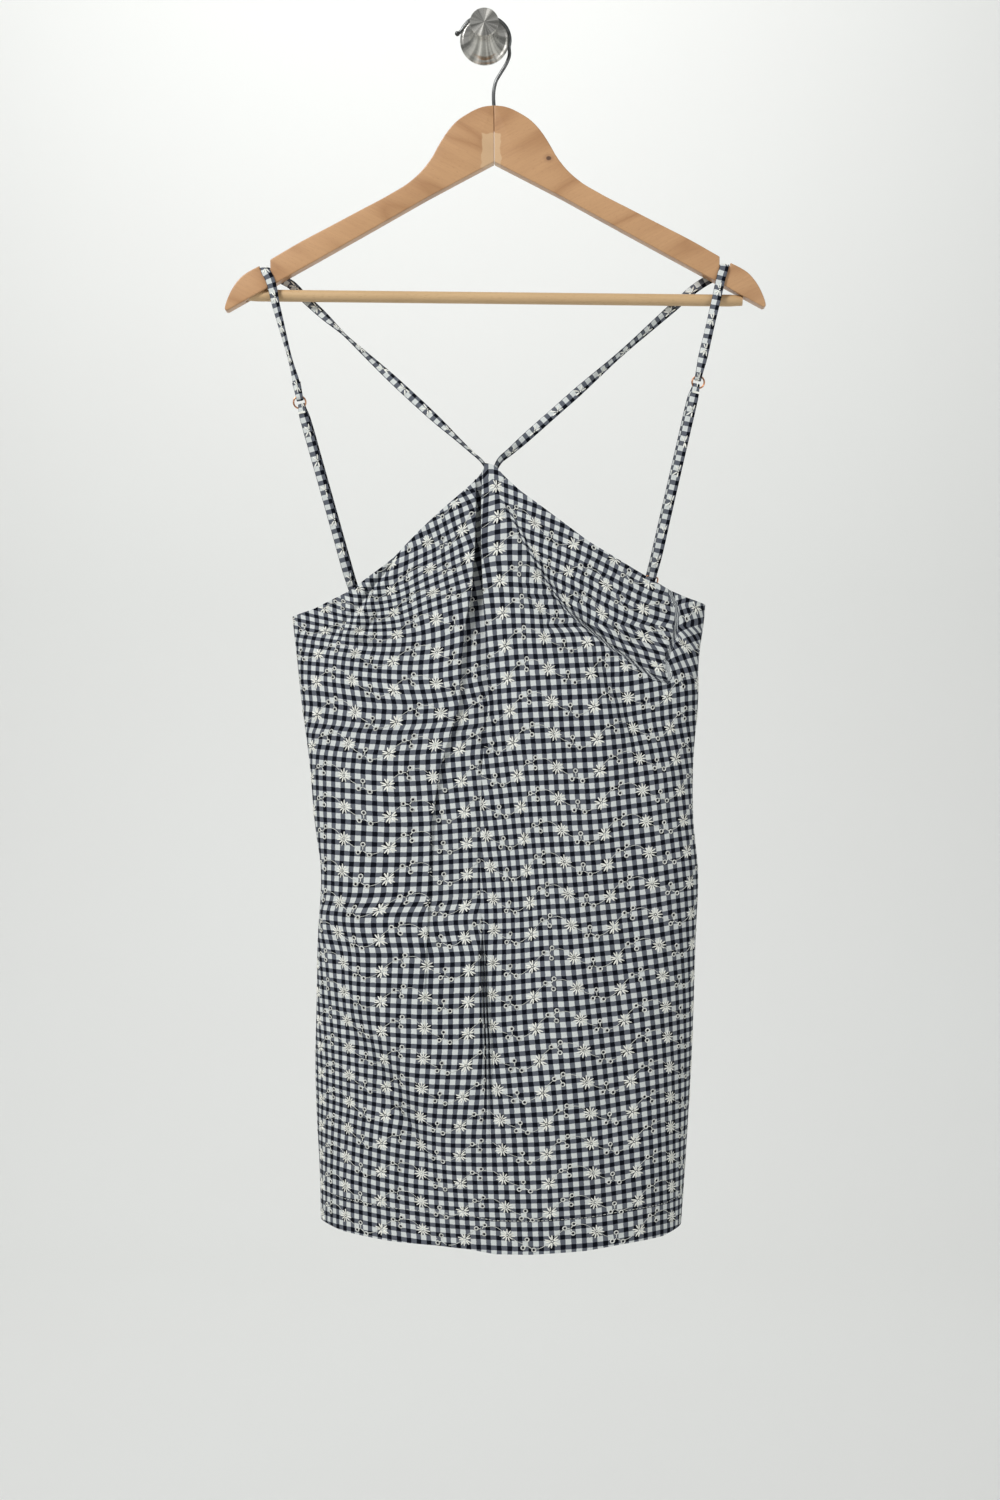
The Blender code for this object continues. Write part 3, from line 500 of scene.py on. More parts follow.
pleat = {  # its two folded edges, how deep the strip between them lies, and the cloth each edge takes up
    "drop": (360, 375, 395, 430, 465, 492, 520, 560, 610, 655, 700, 760, 830, 880, 998),
    "left": (-7.2, -7.0, -6.9, -7.8, -10.5, -15.5, -18.2, -20.4, -36, -42.6, -44.3, -46, -48, -48.7, -50),
    "right": (-1.9, -1.6, -2.4, -2.4, -0.8, 0.6, 3.4, 3.2, -1.6, -2.6, -2.8, -1.4, 2.6, 3.2, 4.6),
    "depth": (5, 6, 11, 14, 12.5, 10, 7, 5.5, 4.6, 4, 3.8, 3.4, 3.4, 3.4, 3.4),
    "takeLeft": (6, 8, 10, 12, 13, 13, 13.4, 13.4, 9.4, 7.6, 5.4, 3.2, 1.2, 0, 0),
    "takeRight": (8, 10, 14, 18, 20, 21, 21, 20, 17, 15, 9, 2, 0, 0, 0),
}
pinch = {  # below the pleat its right edge runs out in narrow pinched lines
    "drop": (660, 700, 735, 820, 868, 905, 935), "height": (0, 1.3, 2.1, 2.0, 1.2, 0.4, 0), "pitch": 2.9,
}
tuck = {"layers": 3.4, "shutLeft": 5, "shutRight": 7, "flatLeft": 3, "flatRight": 5.5}
tuckForm = {  # a folded edge, from the layer on top, round, under it and back out to the strip
    "place": (0, 0.1, 0.18, 0.25, 0.32, 0.4, 0.55, 0.66, 0.72, 0.78, 0.88, 0.95, 1),
    "edge": (-1.2, -0.5, 0.05, 0.25, 0.05, -0.5, 0, 0, -0.6, 0, 0, 0, 0.8),
    "tuck": (0, 0, 0, 0, 0, -0.08, -0.6, -1, -1, -1, -0.5, -0.1, 0),
    "layer": (0, 0.05, 0.35, 0.9, 1.45, 1.7, 1.75, 1.9, 2.6, 3.3, 3.4, 3.4, 3.4),
    "under": (0, 0, 0, 0, 0, 0, 0, 0, 0, 0, 0.1, 0.5, 1),
}
warpLine = {  # where one warp thread, the line through a column of flowers, runs down the front
    "drop": (360, 406, 458, 510, 563, 614, 718, 817, 990),
    "across": (9.5, 11.3, 13.7, 17.4, 21.8, 26.6, 35.8, 43, 53),
}
pull = {  # how the pull on the straps draws the weave out of square, over most of the front
    "across": (-160, -132, -105, -75, -45, -15, 8, 28, 48, 70, 92, 114, 136, 160, 184),
    "drop": (385, 408, 432, 456, 480, 504, 532, 575, 640, 720, 810, 900, 985),
    "bow": (  # how far the weft rows hang below their place on the centre line
        (18, 21, 24, 24, 20, 9, 0, -4, -4, -3, -3, -5, -7, -8, -9),
        (17, 22, 27, 29, 23, 9, 0, -3, -2, -2, -3, -6, -8, -11, -12),
        (17, 24, 33, 36, 25, 9, 1, 0, 0, 0, -2, -6, -11, -17, -19),
        (16, 26, 38, 37, 21, 7, 2, 2, 3, 2, -1, -7, -15, -24, -27),
        (13, 23, 32, 29, 15, 6, 3, 3, 4, 3, 0, -5, -14, -25, -30),
        (8, 14, 19, 20, 16, 9, 5, 3, 3, 2, 1, -1, -7, -17, -23),
        (6, 9, 13, 16, 16, 11, 7, 5, 4, 3, 2, 1, -3, -9, -13), (8, 11, 14, 16, 15, 12, 9, 7, 6, 5, 4, 2, -2, -6, -10),
        (11, 13, 15, 17, 16, 13, 11, 9, 8, 7, 6, 3, 0, -4, -7),
        (15, 16, 17, 16, 15, 13, 12, 11, 9, 8, 6, 4, 1, -3, -6),
        (7, 9, 12, 14, 15, 14, 13, 11, 9, 8, 6, 4, 1, -2, -5),
        (-10, -7, -2, 4, 9, 11, 11, 10, 9, 7, 5, 2, -1, -4, -6),
        (-10, -10, -9, -6, -3, -1, 0, 1, 1, 0, -1, -3, -5, -6, -7),
    ),
    "lean": (  # how far the warp threads are swung aside
        (-1, -2, -2, -3, -4, -3, 0, 1, -1, -4, -7, -10, -12, -14, -14),
        (-1, -1, -2, -3, -5, -6, -1, 2, 0, -4, -8, -10, -13, -15, -16),
        (-1, -2, -3, -3, -5, -7, -2, 1, -2, -6, -8, -11, -16, -20, -21),
        (0, -1, -4, -6, -5, -4, -1, 0, -3, -5, -8, -11, -19, -27, -29),
        (1, 2, 1, -2, -2, -1, 0, 0, -1, -2, -4, -9, -17, -27, -29),
        (2, 3, 2, 2, 2, 1, 0, 0, -1, 0, -1, -4, -9, -14, -16), (0, 0, -2, -2, 0, 0, 0, 0, 0, 1, 1, -1, -1, -2, -2),
        (-8, -7, -6, -4, -2, -1, -1, -1, 0, 0, 1, 2, 2, 1, 1), (-11, -10, -7, -2, 2, 3, 2, 1, -1, -1, 0, 1, 3, 4, 5),
        (-11, -9, -5, 1, 6, 7, 5, 2, 0, -1, 0, 2, 4, 7, 8), (-7, -8, -9, -8, -6, -4, -3, -2, -1, 1, 3, 6, 9, 11, 11),
        (1, 0, -1, -2, -2, -2, -1, 0, 2, 3, 6, 8, 11, 12, 13),
        (-6, -5, -4, -2, -1, -1, -1, 0, 1, 3, 5, 8, 11, 13, 13),
    ),
}
corner = {  # the same for the cloth above the long fold on the right, which lies turned
    "across": (8, 40, 72, 104, 136, 184),
    "drop": (380, 420, 460, 500, 540),
    "bow": (
        (-1, 11, 24, 39, 53, 72), (-3, 9, 22, 38, 53, 71), (-6, 6, 21, 38, 54, 69), (-8, 5, 21, 37, 50, 63),
        (-9, 5, 20, 33, 42, 55),
    ),
    "lean": (
        (0, -1, 1, 5, 9, 9), (0, -2, -2, 3, 7, 8), (0, -2, -7, -7, -4, 2), (-1, -3, -9, -13, -12, -1),
        (-4, -4, -6, -7, -4, 2),
    ),
}
longFold = (  # the fold round that turned cloth, which hides the cloth between the two sides
    (5, 375), (22, 403), (36, 430), (51, 457), (66, 480), (86, 497), (97, 506), (105, 513), (114, 518), (123, 525),
    (137, 535), (148, 540), (151, 539), (151.5, 534), (149, 522), (154, 508), (158, 492), (157.7, 478), (152, 465),
    (146, 440),
)
foldColumns = ("x0", "d0", "x1", "d1", "bow", "half", "depth")
frontFolds = (  # large soft folds: from, to, bow, half width, and depth (less than nothing is a ridge)
    (-137, 792, -38, 946, 9, 11, 6.5), (-118, 772, -22, 930, 9, 15, -4.5), (-133, 700, -112, 792, 2, 9, 5.0),
    (-112, 690, -92, 800, 2, 12, -2.5), (-103, 455, -131, 512, 0, 11, 3.2), (-84, 452, -122, 520, 0, 13, -3.0),
    (18, 400, 92, 504, -8, 11, 4.0), (34, 404, 108, 500, -8, 14, -3.5), (84, 520, 124, 612, 7, 12, 3.0),
    (6, 740, 8, 905, -5, 8, 2.6), (158, 800, 164, 884, 0, 7, 3.0), (60, 700, 66, 960, 6, 26, -3.0),
    (118, 640, 112, 930, 0, 22, 2.5),
)
backFolds = (
    (132, 790, 40, 940, -9, 14, 5.0), (112, 770, 24, 925, -9, 16, -3.5), (-60, 520, -52, 930, 5, 20, 3.0),
    (8, 510, 6, 960, -4, 24, -3.0), (84, 530, 80, 770, 4, 18, 3.0),
)
frontCreases = (  # sharp creases: half width, depth, and the places they run through
    (2.3, 4.7, ((18, 398), (22, 403), (36, 430), (51, 457), (66, 480), (86, 497), (97, 506), (105, 513), (114, 518),
                (123, 525), (137, 535), (148, 541))),
    (2.1, 3.1, ((150, 536), (149, 522), (154, 508), (158, 492))),
    (2.1, 3.4, ((26, 444), (33, 460), (40, 478), (46, 484), (52, 500))),
    (2.0, 2.8, ((48, 486), (50, 492), (53, 501))),
    (2.2, 4.0, ((84, 518), (92, 527), (99, 537), (103, 548), (109, 556), (111, 564), (121, 586), (131, 612))),
    (2.1, 3.1, ((106, 492), (112, 503), (118, 511))),
    (2.3, 3.7, ((151, 466), (156, 478), (158, 497), (165, 512), (172, 532))),
    (2.0, 2.3, ((98, 438), (110, 452), (120, 468))),
    (2.3, 2.8, ((6.4, 538), (8, 560), (13, 608))),
    (2.3, 4.3, ((-66, 425), (-77, 445), (-88, 458), (-96, 468), (-103, 478), (-112, 488), (-125, 500), (-131, 513))),
    (2.1, 3.4, ((-92, 465), (-101, 481), (-113, 496), (-124, 507))),
    (2.2, 3.7, ((-122, 499), (-112, 505), (-98, 509), (-82, 515))),
    (2.1, 3.1, ((-83, 480), (-90, 488), (-97, 497), (-108, 502))),
    (2.4, 2.4, ((-132, 714), (-125, 744), (-119, 763), (-114, 782), (-108, 798))),
    (2.4, 2.4, ((-136, 792), (-125, 822), (-116, 837), (-106, 853), (-93, 865), (-75, 880), (-59, 896),
                (-49, 917), (-43, 941))),
    (2.0, 1.2, ((159, 789), (166, 828), (167, 870))),
    (2.0, 1.0, ((150, 812), (157, 850))),
    (3.0, 0.9, ((62, 868), (58, 905), (60, 950))),
    (3.0, 0.8, ((-92, 560), (-88, 610), (-94, 655))),
    (3.0, 0.7, ((112, 690), (118, 740), (114, 790))),
)
backCreases = (
    (2.4, 1.6, ((128, 790), (104, 835), (76, 868), (52, 905))), (2.2, 1.2, ((-118, 520), (-96, 560), (-88, 610))),
    (2.2, 1.1, ((150, 512), (126, 548), (118, 592))), (2.8, 1.1, ((-50, 620), (-56, 720), (-48, 800))),
    (2.8, 1.0, ((30, 560), (36, 650), (28, 730))), (2.4, 1.1, ((-128, 830), (-108, 872), (-96, 930))),
)


def sectionAt(label, drop):
    return smoothCurve(drop, form["drop"], form[label])


def pleatAt(label, drop):
    return np.interp(drop, pleat["drop"], pleat[label])


def foldRelief(x, drop, folds):
    relief = np.zeros_like(x)
    for row in folds:
        fold = dict(zip(foldColumns, row))
        dx, dd = fold["x1"] - fold["x0"], fold["d1"] - fold["d0"]
        length = math.hypot(dx, dd)
        along = ((x - fold["x0"]) * dx + (drop - fold["d0"]) * dd) / length ** 2
        side = ((x - fold["x0"]) * dd - (drop - fold["d0"]) * dx) / length
        side = side - fold["bow"] * np.sin(math.pi * np.clip(along, 0, 1))
        taper = np.sin(math.pi * np.clip((along + 0.12) / 1.24, 0, 1))
        relief += fold["depth"] * taper * np.exp(-(side / fold["half"]) ** 2)
    return relief


def besideLine(x, drop, stops):  # how far each place is beside a line, and its share along it
    stops = np.array(stops, dtype=float)
    lengths = np.linalg.norm(np.diff(stops, axis=0), axis=1)
    total, before = lengths.sum(), np.concatenate([[0], np.cumsum(lengths)])
    nearest = np.full(x.shape, 1e9)
    side, along = np.zeros_like(x), np.zeros_like(x)
    for start, end, length, done in zip(stops[:-1], stops[1:], lengths, before):
        run = (end - start) / length
        ahead = np.clip((x - start[0]) * run[0] + (drop - start[1]) * run[1], 0, length)
        offX, offD = x - start[0] - run[0] * ahead, drop - start[1] - run[1] * ahead
        gap = np.hypot(offX, offD)
        closer = gap < nearest
        nearest = np.where(closer, gap, nearest)
        side = np.where(closer, np.sign(offX * run[1] - offD * run[0]) * gap, side)
        along = np.where(closer, (done + ahead) / total, along)
    return side, along


def creaseRelief(x, drop, creases):
    relief = np.zeros_like(x)
    for half, depth, stops in creases:
        side, along = besideLine(x, drop, stops)
        taper = np.sin(math.pi * np.clip(0.06 + along * 0.88, 0, 1)) ** 0.7
        valley = np.exp(-(side / half) ** 2)
        crest = 0.5 * np.exp(-((side - 2.0 * half) / (1.3 * half)) ** 2)
        relief += depth * taper * (valley - crest)
    return relief


def panelDepth(x, drop, face):
    left, right, side = sectionAt("left", drop), sectionAt("right", drop), sectionAt("side", drop)
    across = np.clip(np.abs((2 * x - left - right) / (right - left)), 0, 1)
    bulge = (1 - across ** 2.3) ** 0.56
    depth = side + (sectionAt(face, drop) - side) * bulge
    inner = np.clip(bulge * 1.6 - 0.25, 0, 1)
    if face == "front":
        return depth + (foldRelief(x, drop, frontFolds) + creaseRelief(x, drop, frontCreases)) * inner
    return depth - (foldRelief(x, drop, backFolds) + creaseRelief(x, drop, backCreases)) * inner


def seamSpacing(count):  # closer together where the cloth turns round the side
    t = np.linspace(0, 1, count)
    return 0.6 * (1 - np.cos(t * math.pi / 2)) + 0.4 * t


def frontColumns():
    counts = dress["columns"]
    places = [seamSpacing(counts["left"])[:-1], np.linspace(0, 1, counts["tuckLeft"])]
    places += [np.linspace(0, 1, counts["strip"] + 2)[1:-1], np.linspace(0, 1, counts["tuckRight"])]
    places.append((1 - seamSpacing(counts["right"])[::-1])[1:])
    parts = np.concatenate([np.full(len(run), number) for number, run in enumerate(places)])
    return parts, np.concatenate(places)


def tuckShares(place):
    return [np.interp(place, tuckForm["place"], tuckForm[key]) for key in ("edge", "tuck", "layer", "under")]


def frontPoints(part, place, drop):  # the parts are the left, a tuck, the strip in the pleat, a tuck, the right
    part, place, drop = np.broadcast_arrays(part, place, drop)
    left, right = sectionAt("left", drop), sectionAt("right", drop)
    foldLeft, foldRight = pleatAt("left", drop), pleatAt("right", drop)
    takeLeft, takeRight = pleatAt("takeLeft", drop), pleatAt("takeRight", drop)
    under = np.maximum(pleatAt("depth", drop) - tuck["layers"], 0)
    shutLeft, shutRight = np.clip(takeLeft / tuck["shutLeft"], 0, 1), np.clip(takeRight / tuck["shutRight"], 0, 1)
    openLeft, openRight = tuck["flatLeft"] * (1 - shutLeft), tuck["flatRight"] * (1 - shutRight)
    edge, inside, layer, low = tuckShares(place)
    edgeRight, insideRight, layerRight, lowRight = tuckShares(1 - place)
    flatLeft = foldLeft + (place - 0.5) * 2 * tuck["flatLeft"]
    flatRight = foldRight + (place - 0.5) * 2 * tuck["flatRight"]
    ridge = smoothCurve(drop, pinch["drop"], pinch["height"])
    ridge = ridge * -np.cos((flatRight - foldRight) * 2 * math.pi / pinch["pitch"])
    ridge = ridge * np.clip(2.4 - np.abs(place - 0.5) * 5.2, 0, 1)
    tuckLeftX = foldLeft + edge + inside * takeLeft / 2
    tuckRightX = foldRight - edgeRight - insideRight * takeRight / 2
    endLeft = foldLeft - (1.2 * shutLeft + openLeft)
    startStrip = foldLeft + 0.8 * shutLeft + openLeft
    endStrip = foldRight - 0.8 * shutRight - openRight
    startRight = foldRight + 1.2 * shutRight + openRight
    x = np.choose(part, [
        left + (endLeft - left) * place,
        tuckLeftX * shutLeft + flatLeft * (1 - shutLeft),
        startStrip + (endStrip - startStrip) * place,
        tuckRightX * shutRight + flatRight * (1 - shutRight),
        startRight + (right - startRight) * place])
    zero = np.zeros_like(x)
    extra = np.choose(part, [
        zero,
        (layer + low * under) * shutLeft,
        (tuck["layers"] + under) * (shutLeft + (shutRight - shutLeft) * place),
        (layerRight + lowRight * under) * shutRight + ridge * (1 - shutRight),
        zero])
    return x, panelDepth(x, drop, "front") + extra


def columnEnds(part, place, line, drop):
    for _ in range(8):
        x, _ = frontPoints(part, place, drop)
        drop = np.interp(x, line["across"], line["drop"])
    return drop


def gridNormals(points):
    return unit(np.cross(np.gradient(points, axis=0), np.gradient(points, axis=1)))


def frontSurface():
    part, place = frontColumns()
    start = np.full(len(part), 420.0)
    top = columnEnds(part, place, neckline, start)
    bottom = columnEnds(part, place, hemLine, start + 570)
    t = np.linspace(0, 1, dress["rows"])[:, None] ** 1.18  # closer together where the creases are
    drop = top + (bottom - top) * t
    x, y = frontPoints(part, place, drop)
    levels = np.linspace(355, 1000, 150)
    acrossX, acrossY = frontPoints(part[None, :], place[None, :], levels[:, None])
    girth = runAcross(acrossX, acrossY)
    rightPart = part == 4
    thread = smoothCurve(levels, warpLine["drop"], warpLine["across"])
    for k in range(len(levels)):
        girth[k] -= np.interp(thread[k], acrossX[k, rightPart], girth[k, rightPart])
    u = np.stack([np.interp(drop[:, j], levels, girth[:, j]) for j in range(len(part))], axis=1)
    turned = np.clip(0.5 + besideLine(x, drop, longFold)[0] / 2, 0, 1)
    u = u - fieldAt(pull, "lean", x, drop) * (1 - turned) - fieldAt(corner, "lean", x, drop) * turned
    v = drop - fieldAt(pull, "bow", x, drop) * (1 - turned) - fieldAt(corner, "bow", x, drop) * turned
    points = np.stack([x, y - 0.05, -drop], axis=2) * mm
    return {"points": points, "normals": gridNormals(points), "uv": np.stack([u, v], axis=2)}


def backSurface():
    t = np.linspace(0, 1, dress["backColumns"])
    place = (1 - np.cos(math.pi * t)) / 2 * 0.7 + t * 0.3
    arch = np.sin(math.pi * place)
    top = neckline["drop"][0] + (neckline["drop"][-1] - neckline["drop"][0]) * place + backEdge["sag"] * arch
    low = backEdge["hemLeft"] + (backEdge["hemRight"] - backEdge["hemLeft"]) * place + backEdge["hemSag"] * arch
    drop = top + (low - top) * np.linspace(0, 1, dress["backRows"])[:, None]
    left, right = sectionAt("left", drop), sectionAt("right", drop)
    x = left + (right - left) * place
    y = panelDepth(x, drop, "back")
    girth = runAcross(x, y)
    u = girth - girth[:, len(t) // 2][:, None]
    v = drop + backEdge["seamRise"] * np.abs(2 * place - 1) ** 2.5
    points = np.stack([x, y + 0.05, -drop], axis=2) * mm
    points, u, v = points[:, ::-1], -u[:, ::-1], v[:, ::-1]  # seen from behind, so the cloth faces out
    return {"points": points, "normals": gridNormals(points), "uv": np.stack([u, v], axis=2)}


def clothFromSurface(surface):
    rows, columns = surface["points"].shape[:2]
    deselectAll()
    bpy.ops.mesh.primitive_grid_add(x_subdivisions=columns - 1, y_subdivisions=rows - 1, size=1)
    piece = bpy.context.object
    mesh = piece.data
    flat = np.zeros(len(mesh.vertices) * 3)
    mesh.vertices.foreach_get("co", flat)
    flat = flat.reshape(-1, 3)
    column = np.rint((flat[:, 0] + 0.5) * (columns - 1)).astype(int)
    row = np.rint((0.5 - flat[:, 1]) * (rows - 1)).astype(int)
    mesh.vertices.foreach_set("co", surface["points"][row, column].ravel())
    cloth = np.stack([surface["uv"][..., 0], surface["uv"][..., 1] - flowers["firstRow"] + gingham["weftCheck"]],
                     axis=2)[row, column] * mm
    loops = np.zeros(len(mesh.loops), dtype=np.int32)
    mesh.loops.foreach_get("vertex_index", loops)
    mesh.uv_layers[0].data.foreach_set("uv", cloth[loops].ravel())
    mesh.update()
    applyModifier(piece, "SOLIDIFY", thickness=dress["wall"] * mm, offset=-1.0, use_rim=True)
    return piece


# Embroidery: one repeat is modelled flat, then laid along the cloth's own threads

flowers = {
    "pitch": 33.4, "rowPitch": 25.25, "firstRow": 405.0, "oddRise": 5.2, "reach": 6.1, "stemThread": 0.2,
    "upCluster": (14.0, -9.8), "downCluster": (14.7, 8.2), "ring": 1.5, "ringThread": 0.46, "hole": 0.85,
    "upEyelets": ((-4.3, -0.6), (2.6, -3.8), (1.6, 4.3)), "downEyelets": ((0, -4.9), (-3.3, 1.6), (4.9, 3.3)),
}
petals = {
    "spiky": {"count": 11, "width": 1.1, "start": 8.0, "pairing": 0.0},
    "paired": {"count": 10, "width": 1.25, "start": 22.0, "pairing": 5.0},
}
stems = (  # from the even flower up to its eyelets, on to the odd flower, down to its eyelets and back
    ((-3.4, 1.8), (-7.0, 4.0), (-10.0, 5.2), (-13.4, 5.6)), ((1.6, -3.4), (5.0, -6.4), (8.4, -9.0)),
    ((18.4, -12.2), (22.6, -12.8), (26.6, -11.4), (29.6, -8.8)), ((36.4, -3.2), (40.0, -0.6), (44.6, 1.4)),
)


def flatPetal(centre, angle, length, width, height, inner=0.9):
    middle = (inner + length) / 2
    place = (centre[0] + middle * math.cos(angle), centre[1] + middle * math.sin(angle), 0.12)
    bpy.ops.mesh.primitive_uv_sphere_add(segments=5, ring_count=4, radius=0.5, location=place,
                                         rotation=(0, math.pi / 2, angle))
    petal = bpy.context.object
    petal.scale = (height, width, length - inner)
    return petal


def flatFlower(centre, kind):
    sizes = petals[kind]
    made = []
    for k in range(sizes["count"]):
        turn = 360 / sizes["count"] * k + sizes["start"] + sizes["pairing"] * (-1) ** k
        length = flowers["reach"] * (0.92 + 0.08 * math.cos(k * 2.4))
        made.append(flatPetal(centre, math.radians(turn), length, sizes["width"], 0.95))
    bpy.ops.mesh.primitive_uv_sphere_add(segments=6, ring_count=4, radius=0.62, location=(*centre, 0.3))
    made.append(bpy.context.object)
    return made


def flatCluster(centre, eyelets):
    made = []
    for x, y in eyelets:
        place = (centre[0] + x, centre[1] + y, 0.14)
        bpy.ops.mesh.primitive_torus_add(location=place, major_segments=10, minor_segments=4,
                                         major_radius=flowers["ring"], minor_radius=flowers["ringThread"])
        made.append(bpy.context.object)
    for x, y in eyelets:
        angle = math.atan2(y, x)
        made.append(flatPetal(centre, angle, math.hypot(x, y) - flowers["ring"] + 0.2, 0.8, 0.7, 0.2))
    return made


# a dark disc of painted shade, standing for an eyelet hole through which the shaded inside would show
def flatHoleShade(centre):
    bpy.ops.mesh.primitive_cylinder_add(vertices=10, radius=flowers["hole"] + 0.25, depth=0.24,
                                        location=(*centre, 0.03))
    return bpy.context.object


def flatStem(stops):
    stops = np.array(stops)
    along = runAlong(stops)
    places = np.linspace(0, along[-1], 7)
    line = np.stack([*(smoothCurve(places, along, stops[:, k]) for k in (0, 1)), np.full(7, 0.12)], axis=1)
    return wirePiece(line, flowers["stemThread"], resolution=0, scale=1)


def takeArrays(parts):  # the flat repeat as numbers: its points, faces, and which stitch each point is in
    points, faces, islands, base = [], [], [], 0
    for number, part in enumerate(parts):
        pick(part)
        bpy.ops.object.transform_apply(location=True, rotation=True, scale=True)
        cos = np.zeros(len(part.data.vertices) * 3)
        part.data.vertices.foreach_get("co", cos)
        points.append(cos.reshape(-1, 3))
        faces += [tuple(v + base for v in face.vertices) for face in part.data.polygons]
        islands.append(np.full(len(part.data.vertices), number))
        base += len(part.data.vertices)
    for part in parts:
        bpy.data.objects.remove(part, do_unlink=True)
    return np.concatenate(points), faces, np.concatenate(islands)


def between(grid, place):  # reads a grid between its points, with its slope along rows and columns
    low = np.minimum(place.astype(int), np.array(grid.shape[:2]) - 2)
    t = (place - low)[:, :, None]
    i, j = low[:, 0], low[:, 1]
    a, b, c, d = grid[i, j], grid[i, j + 1], grid[i + 1, j], grid[i + 1, j + 1]
    s, r = t[:, 0], t[:, 1]
    value = (a * (1 - r) + b * r) * (1 - s) + (c * (1 - r) + d * r) * s
    return value, (c - a) * (1 - r) + (d - b) * r, (b - a) * (1 - s) + (d - c) * s


laying = {"skip": 4, "rounds": 18, "stride": 5, "near": 0.12, "rowStep": 6, "columnStep": 7}


def layOnCloth(surface, targets):
    rows, columns = surface["uv"].shape[:2]
    skip = laying["skip"]
    tree = KDTree(len(range(0, rows, skip)) * len(range(0, columns, skip)))
    seeds = []
    for i in range(0, rows, skip):
        for j in range(0, columns, skip):
            tree.insert((*surface["uv"][i, j], 0), len(seeds))
            seeds.append((i, j))
    tree.balance()
    limit = np.array([rows - 1, columns - 1]) - 1e-6
    place = np.array([seeds[tree.find((u, v, 0))[1]] for u, v in targets[:, :2]], dtype=float)
    for _ in range(laying["rounds"]):
        value, down, side = between(surface["uv"], place)
        error = targets[:, :2] - value
        area = down[:, 0] * side[:, 1] - down[:, 1] * side[:, 0]
        area = np.where(np.abs(area) < 1e-9, 1e-9, area)
        stepDown = (error[:, 0] * side[:, 1] - error[:, 1] * side[:, 0]) / area
        stepSide = (down[:, 0] * error[:, 1] - down[:, 1] * error[:, 0]) / area
        stride = np.clip(np.stack([stepDown, stepSide], axis=1), -laying["stride"], laying["stride"])
        place = np.clip(place + stride, 0, limit)
    value, down, side = between(surface["uv"], place)
    found = np.linalg.norm(targets[:, :2] - value, axis=1) < laying["near"]
    for slope, step in ((down, laying["rowStep"]), (side, laying["columnStep"])):  # not inside a fold
        found &= np.linalg.norm(slope, axis=1) < step
    ground = between(surface["points"], place)[0]
    normal = unit(between(surface["normals"], place)[0])
    return ground + normal * targets[:, 2:3] * mm, found


def repeatOnCloth(surface, flat):
    points, faces, islands = flat
    low, high = surface["uv"].min(axis=(0, 1)), surface["uv"].max(axis=(0, 1))
    pitch, rowPitch = flowers["pitch"] * 2, flowers["rowPitch"]
    columns = range(math.floor((low[0] - pitch) / pitch), math.ceil(high[0] / pitch) + 1)
    rows = range(math.floor((low[1] - flowers["firstRow"]) / rowPitch) - 1,
                 math.ceil((high[1] - flowers["firstRow"]) / rowPitch) + 1)
    chance = np.random.default_rng(11)
    targets = []
    for column in columns:
        for row in rows:
            shift = np.array([column * pitch, flowers["firstRow"] + row * rowPitch, 0])
            shift[:2] += chance.normal(0, 0.2, 2)
            targets.append(points + shift)
    count = len(targets)
    laid, found = layOnCloth(surface, np.concatenate(targets))
    kept = found.reshape(count, -1)
    islandCount = islands.max() + 1
    allFaces, keepPoint = [], np.zeros(len(laid), dtype=bool)
    for tile in range(count):
        whole = np.array([kept[tile, islands == k].all() for k in range(islandCount)])
        keepPoint[tile * len(points):(tile + 1) * len(points)] = whole[islands]
        allFaces += [tuple(v + tile * len(points) for v in face) for face in faces if whole[islands[face[0]]]]
    newIndex = np.cumsum(keepPoint) - 1
    return laid[keepPoint], [tuple(int(newIndex[v]) for v in face) for face in allFaces]


def embroideryParts():
    deselectAll()
    odd = (flowers["pitch"], -flowers["oddRise"])
    upCentre = flowers["upCluster"]
    downCentre = (odd[0] + flowers["downCluster"][0], odd[1] + flowers["downCluster"][1])
    bloom = flatFlower((0, 0), "paired") + flatFlower(odd, "spiky")
    lace = [flatStem(stops) for stops in stems]
    lace += flatCluster(upCentre, flowers["upEyelets"])
    lace += flatCluster(downCentre, flowers["downEyelets"])
    holes = [flatHoleShade((centre[0] + x, centre[1] + y))
             for centre, eyelets in ((upCentre, flowers["upEyelets"]), (downCentre, flowers["downEyelets"]))
             for x, y in eyelets]
    return takeArrays(bloom), takeArrays(lace), takeArrays(holes)


# Hem stitching

hemStitch = {"above": 22.5, "length": 2.3, "gap": 0.9, "width": 0.42}


